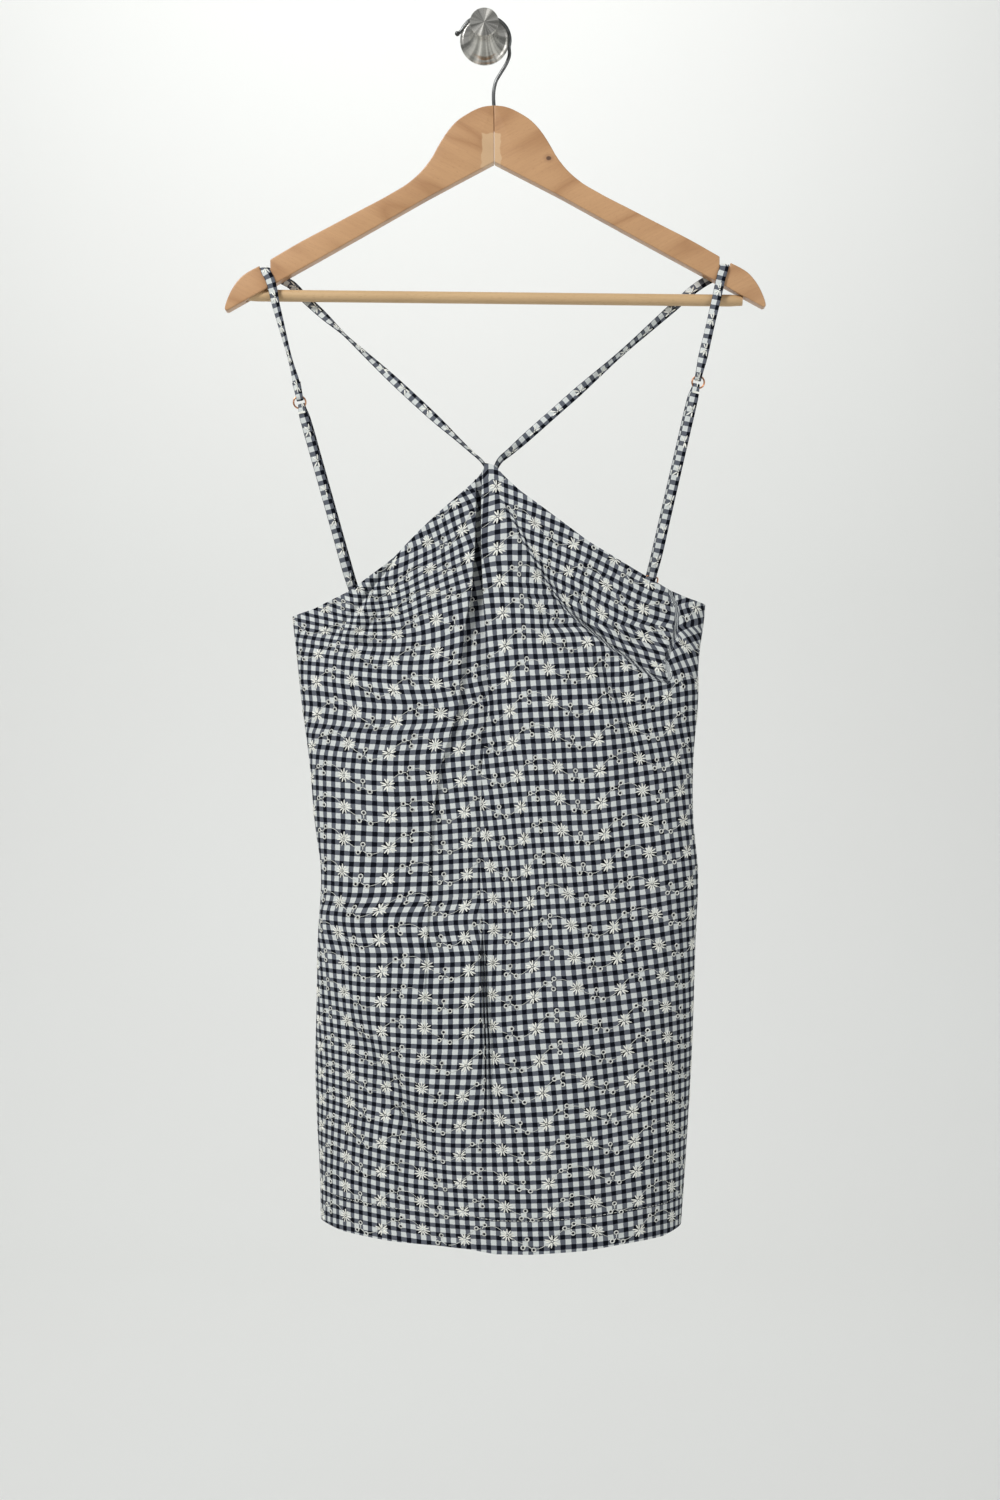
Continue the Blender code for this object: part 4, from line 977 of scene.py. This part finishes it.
def hemStitches(surface):
    drops = -surface["points"][..., 2] / mm
    length = drops[-1] - drops[0]
    share = 1 - hemStitch["above"] / length
    columns = np.arange(drops.shape[1])
    line = between(surface["points"], np.stack([share * (len(drops) - 1), columns * 0.999], axis=1))[0]
    out = between(surface["normals"], np.stack([share * (len(drops) - 1), columns * 0.999], axis=1))[0]
    along = runAlong(line) / mm
    pitch = hemStitch["length"] + hemStitch["gap"]
    points, faces = [], []
    for start in np.arange(1.5, along[-1] - pitch, pitch):
        spots = start + hemStitch["length"] * np.array([0, 0.25, 0.75, 1])
        centre = np.stack([np.interp(spots, along, line[:, k]) for k in range(3)], axis=1)
        normal = unit(np.stack([np.interp(spots, along, out[:, k]) for k in range(3)], axis=1))
        run = unit(np.gradient(centre, axis=0))
        side = np.cross(run, normal)
        half = hemStitch["width"] / 2 * mm * np.array([0.5, 1, 1, 0.5])[:, None]
        rise = mm * np.array([0.02, 0.24, 0.24, 0.02])[:, None]
        base = len(points)
        for k in range(4):
            points += [centre[k] - side[k] * half[k], centre[k] + normal[k] * rise[k],
                       centre[k] + side[k] * half[k], centre[k] - normal[k] * 0.1 * mm]
        faces += tubeFaces(4, 4, base)
        faces += [tuple(base + n for n in (3, 2, 1, 0)), tuple(base + 12 + n for n in range(4))]
    return meshPiece(np.array(points), faces)


# Straps, rings and sliders

strap = {"width": 7.6, "wall": 1.15, "ply": 0.3, "seamGap": 0.3, "step": 2.6, "panelWall": 1.2, "atRing": 5.6,
         "ringTurn": 3.4, "checkShift": 1.3, "halfCloth": 0.6,
         "sewnShare": 0.85, "cutAcross": (32.4, 1.2), "cutDown": 600}
tack = {"count": 4, "below": 8.3, "pitch": 0.42, "front": 2.75, "half": 2.7, "longer": 0.25, "thread": 0.26}
ring = {"radius": 5.0, "wire": 0.7}
slider = {"width": 10.8, "height": 9.0, "wire": 0.62, "round": 1.3}
hangerPlace = {"x": 7.9, "y": -35.0, "top": -64.3, "tilt": 0.38}
straps = {  # the two sides differ a little, as the dress hangs slightly to one side
    "left": {
        "tipEnd": (2.7, -376.5), "tip": (2.7, -366), "tipLean": (1.6, -361.6), "tipInset": 4.4,
        "barCross": (-150.1, -28.7, -219.8), "underArm": (-161.7, -26.8, -208.4),
        "armBack": (-173.0, -26.8, -203.8), "notchX": -180.6,
        "frontTop": (-177.8, -43.3, -205), "ring": (-152.0, -42.4, -309.0),
        "slider": (-107.0, -28.4, -470.5), "backEnd": (-99.6, -499), "lean": 12.5, "offset": 1.3,
        "diagonalTwist": ((0.02, 68), (0.08, 66), (0.16, 54), (0.3, 12), (0.48, 8), (0.667, 50), (0.78, 66),
                          (0.907, 14)),
        "frontTwist": ((0.3, 30), (0.6, 56), (0.82, 64)), "ringTwist": 44, "ringShift": 0.8,
    },
    "right": {
        "tipEnd": (8.7, -376.5), "tip": (8.6, -367), "tipLean": (9.2, -361.2), "tipInset": 1.4,
        "barCross": (161.8, -28.7, -223.6), "underArm": (175.3, -26.8, -211.9),
        "armBack": (187.6, -26.8, -204.4), "notchX": 197.6,
        "frontTop": (195.8, -43.3, -203), "ring": (176.0, -42.4, -292.5),
        "slider": (138.4, -28.4, -455.5), "backEnd": (130.8, -497), "lean": -12.6, "offset": -1.6,
        "diagonalTwist": ((0.02, 62), (0.08, 50), (0.16, 22), (0.396, 8), (0.505, 38), (0.63, 64), (0.72, 66),
                          (0.835, 50), (0.96, 20)),
        "frontTwist": ((0.3, 10), (0.6, 22), (0.8, 12)), "ringTwist": 6, "ringShift": -0.8,
    },
}


def ribbonPath(stops):
    stops = np.asarray(stops, dtype=float)
    along = runAlong(stops[:, :3])
    places = np.unique(np.concatenate([
        np.linspace(a, b, max(2, math.ceil((b - a) / strap["step"]) + 1)) for a, b in zip(along[:-1], along[1:])]))
    places = places[np.concatenate([[True], np.diff(places) > 0.05])]
    return np.stack([smoothCurve(places, along, stops[:, k]) for k in range(5)], axis=1)


def strapPiece(stops):  # a flat tube of cloth: rounded edges, and its own length and width as its map
    path = ribbonPath(stops)
    centre = path[:, :3] * mm
    tangent = unit(np.gradient(centre, axis=0))
    sideways = unit(np.array([1.0, 0, 0]) - tangent * tangent[:, :1])
    flat = np.cross(tangent, sideways)
    twist = np.radians(path[:, 4])[:, None]
    wide = sideways * np.cos(twist) + flat * np.sin(twist)
    thin = np.cross(tangent, wide)
    outline = np.array([(-1, 0), (-0.93, -0.8), (-0.5, -1), (0.5, -1), (0.93, -0.8),
                        (1, 0), (0.93, 0.8), (0.5, 1), (-0.5, 1), (-0.93, 0.8)])
    half = path[:, 3:4] * mm / 2
    rings = [centre + wide * half * a + thin * strap["wall"] * mm / 2 * b for a, b in outline]
    points = np.stack(rings, axis=1).reshape(-1, 3)
    sides, stations = len(outline), len(centre)
    piece = meshPiece(points, tubeFaces(stations, sides), closed=False)
    run = runAlong(centre)
    across = (outline[:, 0] * strap["width"] / 2 + gingham["warpCheck"] + strap["checkShift"]) * mm
    cloth = np.stack([np.tile(across, stations), np.repeat(run, sides)], axis=1)
    layer = piece.data.uv_layers.new(name="UVMap")
    loops = np.zeros(len(piece.data.loops), dtype=np.int32)
    piece.data.loops.foreach_get("vertex_index", loops)
    layer.data.foreach_set("uv", cloth[loops].ravel())
    applyModifier(piece, "SOLIDIFY", thickness=strap["ply"] * mm, offset=-1.0, use_rim=True)
    faces = []
    reach = strap["sewnShare"]
    for turn, middle in zip((1, -1), strap["cutAcross"]):  # its flat faces as surfaces for the embroidery
        edges = [centre + thin * turn * strap["wall"] * mm / 2 + wide * half * k for k in (-reach * turn, reach * turn)]
        places = [np.full(len(run), k * strap["width"] / 2 + middle) for k in (-reach, reach)]
        cloth = [np.stack([place, run / mm + strap["cutDown"]], axis=1) for place in places]
        faces.append({"points": np.stack(edges, axis=1), "normals": np.stack([thin * turn, thin * turn], axis=1),
                      "uv": np.stack(cloth, axis=1)})
    return piece, faces


def tackPiece(s):  # the close stitches that shut the lower strap round its ring
    lean = math.radians(s["lean"])
    down = np.array([math.sin(lean), 0, -math.cos(lean)])
    threads = []
    for k in range(tack["count"]):
        place = np.array(s["ring"]) + down * (tack["below"] + tack["pitch"] * k) - np.array([0, tack["front"], 0])
        side = np.array([math.cos(lean), 0, math.sin(lean)]) * (tack["half"] + tack["longer"] * (k % 2))
        threads.append(wirePiece([place - side, place, place + side], tack["thread"], resolution=1))
    return joinPieces(threads)


def hangerPoint(out, drop, side):
    x, z = side * out, -drop
    cos, sin = math.cos(math.radians(hangerPlace["tilt"])), math.sin(math.radians(hangerPlace["tilt"]))
    return hangerPlace["x"] + x * cos - z * sin, hangerPlace["top"] + x * sin + z * cos


def ringTurn(centre, lean, end, offset=0.0):
    up = np.array([-math.sin(lean), 0, math.cos(lean)])
    wireTop = np.array(centre) + up * end * ring["radius"]
    stops = []
    for angle in (0, 45, 90, 135, 180):
        depth = -2.4 * math.cos(math.radians(angle))
        inwards = -end * strap["ringTurn"] * math.sin(math.radians(angle))
        level = -math.degrees(lean) * math.sin(math.radians(angle))
        place = wireTop + up * inwards + np.array([offset * angle / 180, depth, 0])
        stops.append((*place, strap["atRing"], level))
    return stops


def panelPoint(x, z, face, inset):
    depth = float(panelDepth(np.array([x]), np.array([-z]), face)[0])
    return np.array([x, depth + inset, z])


def upperStops(s):
    width, lean = strap["width"], math.radians(s["lean"])
    behind = strap["panelWall"] + strap["seamGap"] + s["tipInset"]
    end, mid, tip = (panelPoint(*s[key], "front", behind) for key in ("tipEnd", "tip", "tipLean"))
    bar = np.array(s["barCross"])
    startTwist = s["diagonalTwist"][0][1]
    stops = [(*end, width - 1.2, startTwist), (*mid, width - 1.2, startTwist)]
    stops += [(*(tip + (bar - tip) * share), width, twist) for share, twist in s["diagonalTwist"]]
    stops += [(*s[key], width, 0) for key in ("barCross", "underArm", "armBack")]
    side = 1 if s["notchX"] > 0 else -1
    middle = sum(arm["notch"]) / 2
    floor = hangerPoint(middle, (arm["top"][1][-1] + arm["tip"][1][0]) / 2 + arm["notchDepth"], side)[1]
    over = floor + strap["seamGap"] + strap["halfCloth"] + 0.2
    x = s["notchX"]
    back, front = hangerPlace["y"] + arm["thickness"] / 2, hangerPlace["y"] - arm["thickness"] / 2
    stops += [(x - side * 1.6, back + 1.2, floor - 5.0, width, 0), (x, back + 1.1, floor - 1.4, width, 0),
              (x, back + 0.4, over - 0.5, width, 0), (x, back - 1.6, over, width, 0),
              (x, front + 1.6, over, width, 0), (x, front - 0.5, over - 0.5, width, 0),
              (x - side * 0.3, front - 1.1, floor - 1.4, width, 0), (*s["frontTop"], width, 0)]
    top, ringAt = np.array(s["frontTop"]), np.array(s["ring"]) + np.array([s["ringShift"], 0, 0])
    up = np.array([-math.sin(lean), 0, math.cos(lean)])
    low = ringAt + up * (ring["radius"] + 14) + np.array([0, -0.9, 0])
    stops += [(*(top + (low - top) * share), width, twist) for share, twist in s["frontTwist"]]
    stops.append((*low, width, s["ringTwist"]))
    stops.append((*(ringAt + up * (ring["radius"] + 5) + np.array([0, -1.6, 0])), 6.2, s["ringTwist"] * 0.4))
    stops += ringTurn(ringAt, lean, 1)
    stops.append((*(ringAt + up * (ring["radius"] + 5) + np.array([0, 1.6, 0])), 6.2, 0))
    stops.append((*(low + up * -2 + np.array([0, 1.9, 0])), width - 0.6, 0))
    return stops


def sliderLean(s):
    return math.atan2(s["slider"][0] - s["ring"][0], s["ring"][2] - s["slider"][2])


def lowerStops(s):
    width, lean = strap["width"], math.radians(s["lean"])
    ringAt, sliderAt = np.array(s["ring"]) + np.array([s["ringShift"], 0, 0]), np.array(s["slider"])
    end = panelPoint(*s["backEnd"], "back", -(strap["panelWall"] + strap["seamGap"] + strap["halfCloth"]) - 0.35)
    up = np.array([-math.sin(lean), 0, math.cos(lean)])
    under = ringAt - up * (ring["radius"] + 5)
    run = under - sliderAt
    slope = unit(run)
    near, far = np.array([0, -1.4, 0]), np.array([s["offset"], 1.4, 0])
    turn, narrow = 1.9, width - 1.8
    level = math.degrees(sliderLean(s))
    out = np.array([0, turn, 0])
    stops = [(*(sliderAt + slope * 9 + np.array([0, 0.5, 0])), narrow, 0),
             (*(sliderAt + slope * 5.4 + np.array([0, turn - 0.2, 0])), narrow, 0),
             (*(sliderAt + out), narrow, 0), (*(sliderAt - slope * turn * 0.7 + out * 0.7), narrow, level * 0.7),
             (*(sliderAt - slope * turn), narrow, level),
             (*(sliderAt - slope * turn * 0.7 - out * 0.7), narrow, level * 0.7),
             (*(sliderAt - out), narrow, 0), (*(sliderAt + slope * 5 + near), narrow + 0.4, 0)]
    stops += [(*(sliderAt + run * share + near), width, 0) for share in (0.12, 0.35, 0.6, 0.82, 0.93)]
    stops.append((*(under + np.array([0, -1.8, 0])), 7.0, 0))
    stops += ringTurn(ringAt, lean, -1, s["offset"] * 0.5)
    stops.append((*(under + np.array([s["offset"] * 0.8, 1.8, 0])), 7.0, 0))
    stops += [(*(sliderAt + run * share + far), width, 0) for share in (0.93, 0.82, 0.6, 0.35, 0.12)]
    stops.append((*(sliderAt + np.array([s["offset"], 3.6, 0])), width, 0))
    stops.append((*(sliderAt * 0.45 + end * 0.55 + np.array([0, 1.0, 0])), width, 0))
    stops += [(*(end + np.array([0, 0, 9])), width, 0), (*end, width, 0)]
    return stops


def ringPiece(s):
    deselectAll()
    place = [value * mm for value in s["ring"]]
    bpy.ops.mesh.primitive_torus_add(location=place, rotation=(math.pi / 2, 0, 0), major_segments=56,
                                     minor_segments=14, major_radius=ring["radius"] * mm,
                                     minor_radius=ring["wire"] * mm)
    return bpy.context.object


def sliderPiece(s):  # a frame bent from wire, with its middle bar
    w, h, wireSize = slider["width"] / 2 - slider["wire"], slider["height"] / 2 - slider["wire"], slider["wire"]
    bend = slider["round"]
    corners = []
    for right, up, start in ((1, 1, 0), (-1, 1, 90), (-1, -1, 180), (1, -1, 270)):
        for angle in np.radians(np.linspace(start, start + 90, 6)):
            corners.append((right * (w - bend) + bend * math.cos(angle), up * (h - bend) + bend * math.sin(angle)))
    deselectAll()
    parts = [wirePiece([(x, 0, z) for x, z in corners], wireSize, closed=True),
             wirePiece([(-w, 0, 0), (-w / 2, 0, 0), (w / 2, 0, 0), (w, 0, 0)], wireSize * 0.9)]
    piece = joinPieces(parts)
    piece.rotation_euler = (0, -sliderLean(s), 0)
    piece.location = [value * mm for value in s["slider"]]
    return piece


# Hanger

arm = {
    "thickness": 14.0, "notch": (185.0, 193.8), "notchDepth": 5.4, "rounding": 2.9, "middleDrop": 46.6,
    "top": ((0, 9.5, 22.2, 31.6, 38.7, 45.1, 51, 58.5, 69.5, 86, 111, 136, 160, 185),
            (0, 1.2, 7, 13.6, 21.6, 31.4, 42, 52, 62.3, 72.6, 85.8, 98.9, 111.4, 125.8)),
    "tip": ((193.8, 203, 210, 216.5, 221, 222.8, 220.8), (130.9, 135.6, 140.8, 149.4, 159, 166, 167.6)),
    "underside": ((180, 110, 55, 25), (144.9, 106.2, 75.4, 59.6)),
}
bar = {"left": (-198.0, -219.7), "right": (213.0, -224.1), "radius": 4.9}
hook = {
    "radius": 1.45, "stem": ((7.9, 7.9, 7.9, 9.4, 13.8, 18.2, 20.7), (-84, -66, -50, -43.4, -35.6, -28.2, -21)),
    "arcCentre": (1.6, -8.85), "arcRadius": 19.5, "arcAngles": (-15, 105),
    "tail": ((-8.8, -13.4, -17, -20, -24.2), (9.2, 6.6, 2.2, -2.2, -4.4)),
}


def armPiece(side):
    outs = np.linspace(0, arm["top"][0][-1], 60)
    drops = smoothCurve(outs, *arm["top"])
    outline = [(max(out, 0.12), drop) for out, drop in zip(outs, drops)]
    notchDrop = (arm["top"][1][-1] + arm["tip"][1][0]) / 2 + arm["notchDepth"]
    outline += [(out, notchDrop) for out in arm["notch"]]
    tipRun = np.linspace(0, len(arm["tip"][0]) - 1, 19)
    steps = np.arange(len(arm["tip"][0]))
    outline += list(zip(smoothCurve(tipRun, steps, arm["tip"][0]), smoothCurve(tipRun, steps, arm["tip"][1])))
    outline += list(zip(*arm["underside"]))
    outline.append((0.12, arm["middleDrop"]))
    deselectAll()
    bpy.ops.mesh.primitive_circle_add(vertices=len(outline), fill_type="NGON", radius=1)
    piece = bpy.context.object
    near = hangerPlace["y"] - arm["thickness"] / 2
    for vertex, (out, drop) in zip(piece.data.vertices, outline):
        x, z = hangerPoint(out, drop, side)
        vertex.co = (x * mm, near * mm, z * mm)
    bpy.ops.object.mode_set(mode="EDIT")
    bpy.ops.mesh.select_all(action="SELECT")
    bpy.ops.mesh.extrude_region_move(TRANSFORM_OT_translate={"value": (0, arm["thickness"] * mm, 0)})
    faceOutwards(piece)
    applyModifier(piece, "BEVEL", width=arm["rounding"] * mm, segments=4, limit_method="ANGLE",
                  angle_limit=math.radians(50), use_clamp_overlap=True)
    ends = [np.array((*bar[end][:1], hangerPlace["y"], bar[end][1])) for end in ("left", "right")]
    beyond = unit(ends[1] - ends[0]) * 0.4
    cutters = [wirePiece([ends[0] - beyond, ends[1] + beyond], bar["radius"] + 0.35, resolution=8),
               wirePiece([(hook["stem"][0][0], hangerPlace["y"], -84.3),
                          (hook["stem"][0][0], hangerPlace["y"], -50)], hook["radius"] + 0.3)]
    for cutter in cutters:
        applyModifier(piece, "BOOLEAN", operation="DIFFERENCE", solver="EXACT", object=cutter)
        bpy.data.objects.remove(cutter, do_unlink=True)
    return piece


def barPiece():
    ends = [(bar[end][0], hangerPlace["y"], bar[end][1]) for end in ("left", "right")]
    line = np.linspace(ends[0], ends[1], 40)
    radii = np.ones(40)
    radii[[0, -1]] = 0.86
    return wirePiece(line, bar["radius"], radii=radii, resolution=10)


def hookPiece():
    angles = np.radians(np.linspace(*hook["arcAngles"], 14))
    arc = np.array(hook["arcCentre"]) + hook["arcRadius"] * np.stack([np.cos(angles), np.sin(angles)], axis=1)
    stops = np.concatenate([np.array(hook["stem"]).T, arc, np.array(hook["tail"]).T])
    along = runAlong(stops)
    places = np.concatenate([np.linspace(0, along[-1] - 4.2, 110), along[-1] - np.linspace(3.4, 0, 9)])
    line = np.stack([smoothCurve(places, along, stops[:, 0]), np.full(len(places), hangerPlace["y"]),
                     smoothCurve(places, along, stops[:, 1])], axis=1)
    radii = np.ones(len(places))
    ball = np.linspace(-0.75, 1, 9)
    radii[-9:] = np.maximum(1.5 * np.sqrt(np.clip(1 - ball ** 2, 0, 1)), 0.06)
    return wirePiece(line, hook["radius"], radii=radii, resolution=5)


# Wall hook

wallHook = {
    "stem": ((4.8, 6, 9, 14, 22, 30, 38, 45, 50, 53.5, 56, 57), (19, 17, 14.2, 11.8, 9.9, 8.9, 8.6, 8.7, 9.6, 11.4,
                                                             11.8, 11.2)),
    "plate": ((0, 0.8, 3.1, 4.5), (19.9, 20.5, 20.5, 18.9)),
}


def turnedPiece(profile, steps=120):
    depths, radii = profile
    run = np.arange(len(depths))
    fine = np.unique(np.concatenate([np.linspace(0, len(depths) - 1, 6 * len(depths)), run]))
    line = [(0.0, depths[0])] + list(zip(smoothCurve(fine, run, radii), smoothCurve(fine, run, depths)))
    line.append((0.0, depths[-1]))
    mesh = bpy.data.meshes.new("profile")
    mesh.from_pydata([(radius * mm, -depth * mm, 0) for radius, depth in line], [(k, k + 1) for k in
                                                                              range(len(line) - 1)], [])
    piece = linkPiece("profile", mesh)
    applyModifier(piece, "SCREW", axis="Y", steps=steps, render_steps=steps, use_merge_vertices=True,
                  merge_threshold=0.00001, use_normal_calculate=True)
    faceOutwards(piece, mergeWithin=0.00001)
    return piece


# Stage, in metres

stage = {"floor": -1.6, "back": 4.2, "half": 7.0, "curve": 1.4, "colour": (0.84, 0.85, 0.83),
         "cloud": (0.83, 0.83, 0.81), "world": 0.34, "sky": (0.93, 0.95, 0.96, 1)}
lights = (  # name, place, aim, size, power
    ("keyLight", (-1.5, -1.6, 1.4), (0, 0, -0.45), 0.7, 60),
    ("fillLight", (1.9, -1.9, -0.2), (0, 0, -0.5), 1.8, 15),
    ("backdropLight", (-0.3, 1.9, 2.2), (-0.2, 4.2, 0.2), 2.4, 59),
)
cameraPlace = {"x": 0.0129, "distance": 2.1, "z": -0.5952, "lens": 60.0}


def makeStage():
    deselectAll()
    middle = stage["back"] - stage["half"]
    bpy.ops.mesh.primitive_plane_add(size=2 * stage["half"], location=(0, middle, stage["floor"]))
    floor = bpy.context.object
    bpy.ops.object.transform_apply(location=True, rotation=True, scale=True)
    bpy.ops.object.mode_set(mode="EDIT")
    bpy.ops.mesh.select_mode(type="EDGE")
    bpy.ops.mesh.select_all(action="DESELECT")
    bpy.ops.object.mode_set(mode="OBJECT")
    for edge in floor.data.edges:
        edge.select = all(floor.data.vertices[v].co.y > stage["back"] - 0.01 for v in edge.vertices)
    bpy.ops.object.mode_set(mode="EDIT")
    bpy.ops.mesh.extrude_region_move(TRANSFORM_OT_translate={"value": (0, 0, 6)})
    bpy.ops.object.mode_set(mode="OBJECT")
    applyModifier(floor, "BEVEL", width=stage["curve"], segments=24)
    bpy.ops.object.shade_smooth()
    floor.name = "paleFloor"
    material, tree, shader = newMaterial("paleFloor", Specular_IOR_Level=0.2)
    cloud = addNoise(tree, coordinates(tree, "Object"), 1.5)
    tree.links.new(addMix(tree, cloud, stage["colour"], stage["cloud"]), shader.inputs["Base Color"])
    shader.inputs["Roughness"].default_value = 0.8
    floor.data.materials.append(material)
    world = bpy.data.worlds.new("studio")
    world.use_nodes = True
    world.node_tree.nodes["Background"].inputs["Color"].default_value = stage["sky"]
    world.node_tree.nodes["Background"].inputs["Strength"].default_value = stage["world"]
    bpy.context.scene.world = world


def makeLights():
    for name, place, aim, size, power in lights:
        deselectAll()
        bpy.ops.object.light_add(type="AREA", location=place)
        light = bpy.context.object
        light.name = name
        light.data.shape = "DISK"
        light.data.size = size
        light.data.energy = power
        light.rotation_euler = (Vector(aim) - Vector(place)).to_track_quat("-Z", "Y").to_euler()


def makeCamera():
    deselectAll()
    bpy.ops.object.camera_add(location=(cameraPlace["x"], -cameraPlace["distance"], cameraPlace["z"]),
                              rotation=(math.pi / 2, 0, 0))
    camera = bpy.context.object
    camera.data.lens = cameraPlace["lens"]
    camera.data.sensor_width = 36.0
    bpy.context.scene.camera = camera
    bpy.context.scene.view_settings.view_transform = "Standard"


# Making it all


def main():
    makeStage()
    makeLights()
    makeCamera()
    print("stage, lights and camera are set")
    cotton = clothMaterial(ginghamGroup())
    cream = flossMaterial("creamFloss", floss["petal"], floss["petalShade"])
    thin = flossMaterial("laceThread", floss["lace"], floss["laceShade"])
    shade = holeShadeMaterial()
    copper = metalMaterial("copperTrim", steel["copper"], steel["copperDark"], 0.22, 0.42)
    bloom, lace, holes = embroideryParts()
    print("embroidery repeat:", len(bloom[0]) + len(lace[0]) + len(holes[0]), "points")

    for face, surface in (("front", frontSurface()), ("back", backSurface())):
        cloth = finishPiece(clothFromSurface(surface), face + "_cloth", [cotton],
                            [face + "_panel"], smoothAngle=75)
        extras = []
        for label, flat, material in (("flowers", bloom, cream), ("eyelets", lace, thin), ("holes", holes, shade)):
            piece = meshPiece(*repeatOnCloth(surface, flat))
            extras.append(finishPiece(piece, face + "_" + label, [material], smoothAngle=60))
        extras.append(finishPiece(hemStitches(surface), face + "_hem_stitches", [thin]))

    for side, sizes in straps.items():
        for label, stops in (("upper", upperStops(sizes)), ("lower", lowerStops(sizes))):
            name = "strap_" + label + "_" + side
            band, faces = strapPiece(stops)
            band = finishPiece(band, name + "_cloth", [cotton], [name], 60)
            (near, nearFaces), (far, farFaces) = (repeatOnCloth(face, bloom) for face in faces)
            nearFaces += [tuple(v + len(near) for v in face) for face in farFaces]
            stitches = meshPiece(np.concatenate([near, far]), nearFaces)
            extras = [finishPiece(stitches, name + "_flowers", [cream], smoothAngle=60)]
            if label == "lower":
                extras.append(finishPiece(tackPiece(sizes), "strap_tack_" + side, [cream]))
        finishPiece(ringPiece(sizes), "ring_" + side + "_copper", [copper], ["ring_" + side])
        finishPiece(sliderPiece(sizes), "slider_" + side + "_copper", [copper], ["slider_" + side])

    grain = woodGroup()
    for side, sign in (("left", -1), ("right", 1)):
        wood = armMaterial(grain, "armBeech_" + side, sign * beech["armSlope"])
        finishPiece(armPiece(sign), "hanger_arm_" + side + "_wood", [wood],
                    ["hanger_arm_" + side], 35)
    finishPiece(barPiece(), "hanger_bar_wood", [barMaterial(grain)], ["hanger_bar"], 50)
    dark = metalMaterial("darkWire", steel["wire"], steel["wireDark"], 0.26, 0.42)
    finishPiece(hookPiece(), "hanger_hook_wire", [dark], ["hanger_hook"], 60)
    turned = turnedMaterial(turnedGroup())
    finishPiece(turnedPiece(wallHook["plate"]), "wall_plate_steel", [turned], ["wall_plate"], 30)
    finishPiece(turnedPiece(wallHook["stem"]), "wall_knob_steel", [turned], ["wall_knob"], 30)
    print("all pieces are made")


main()
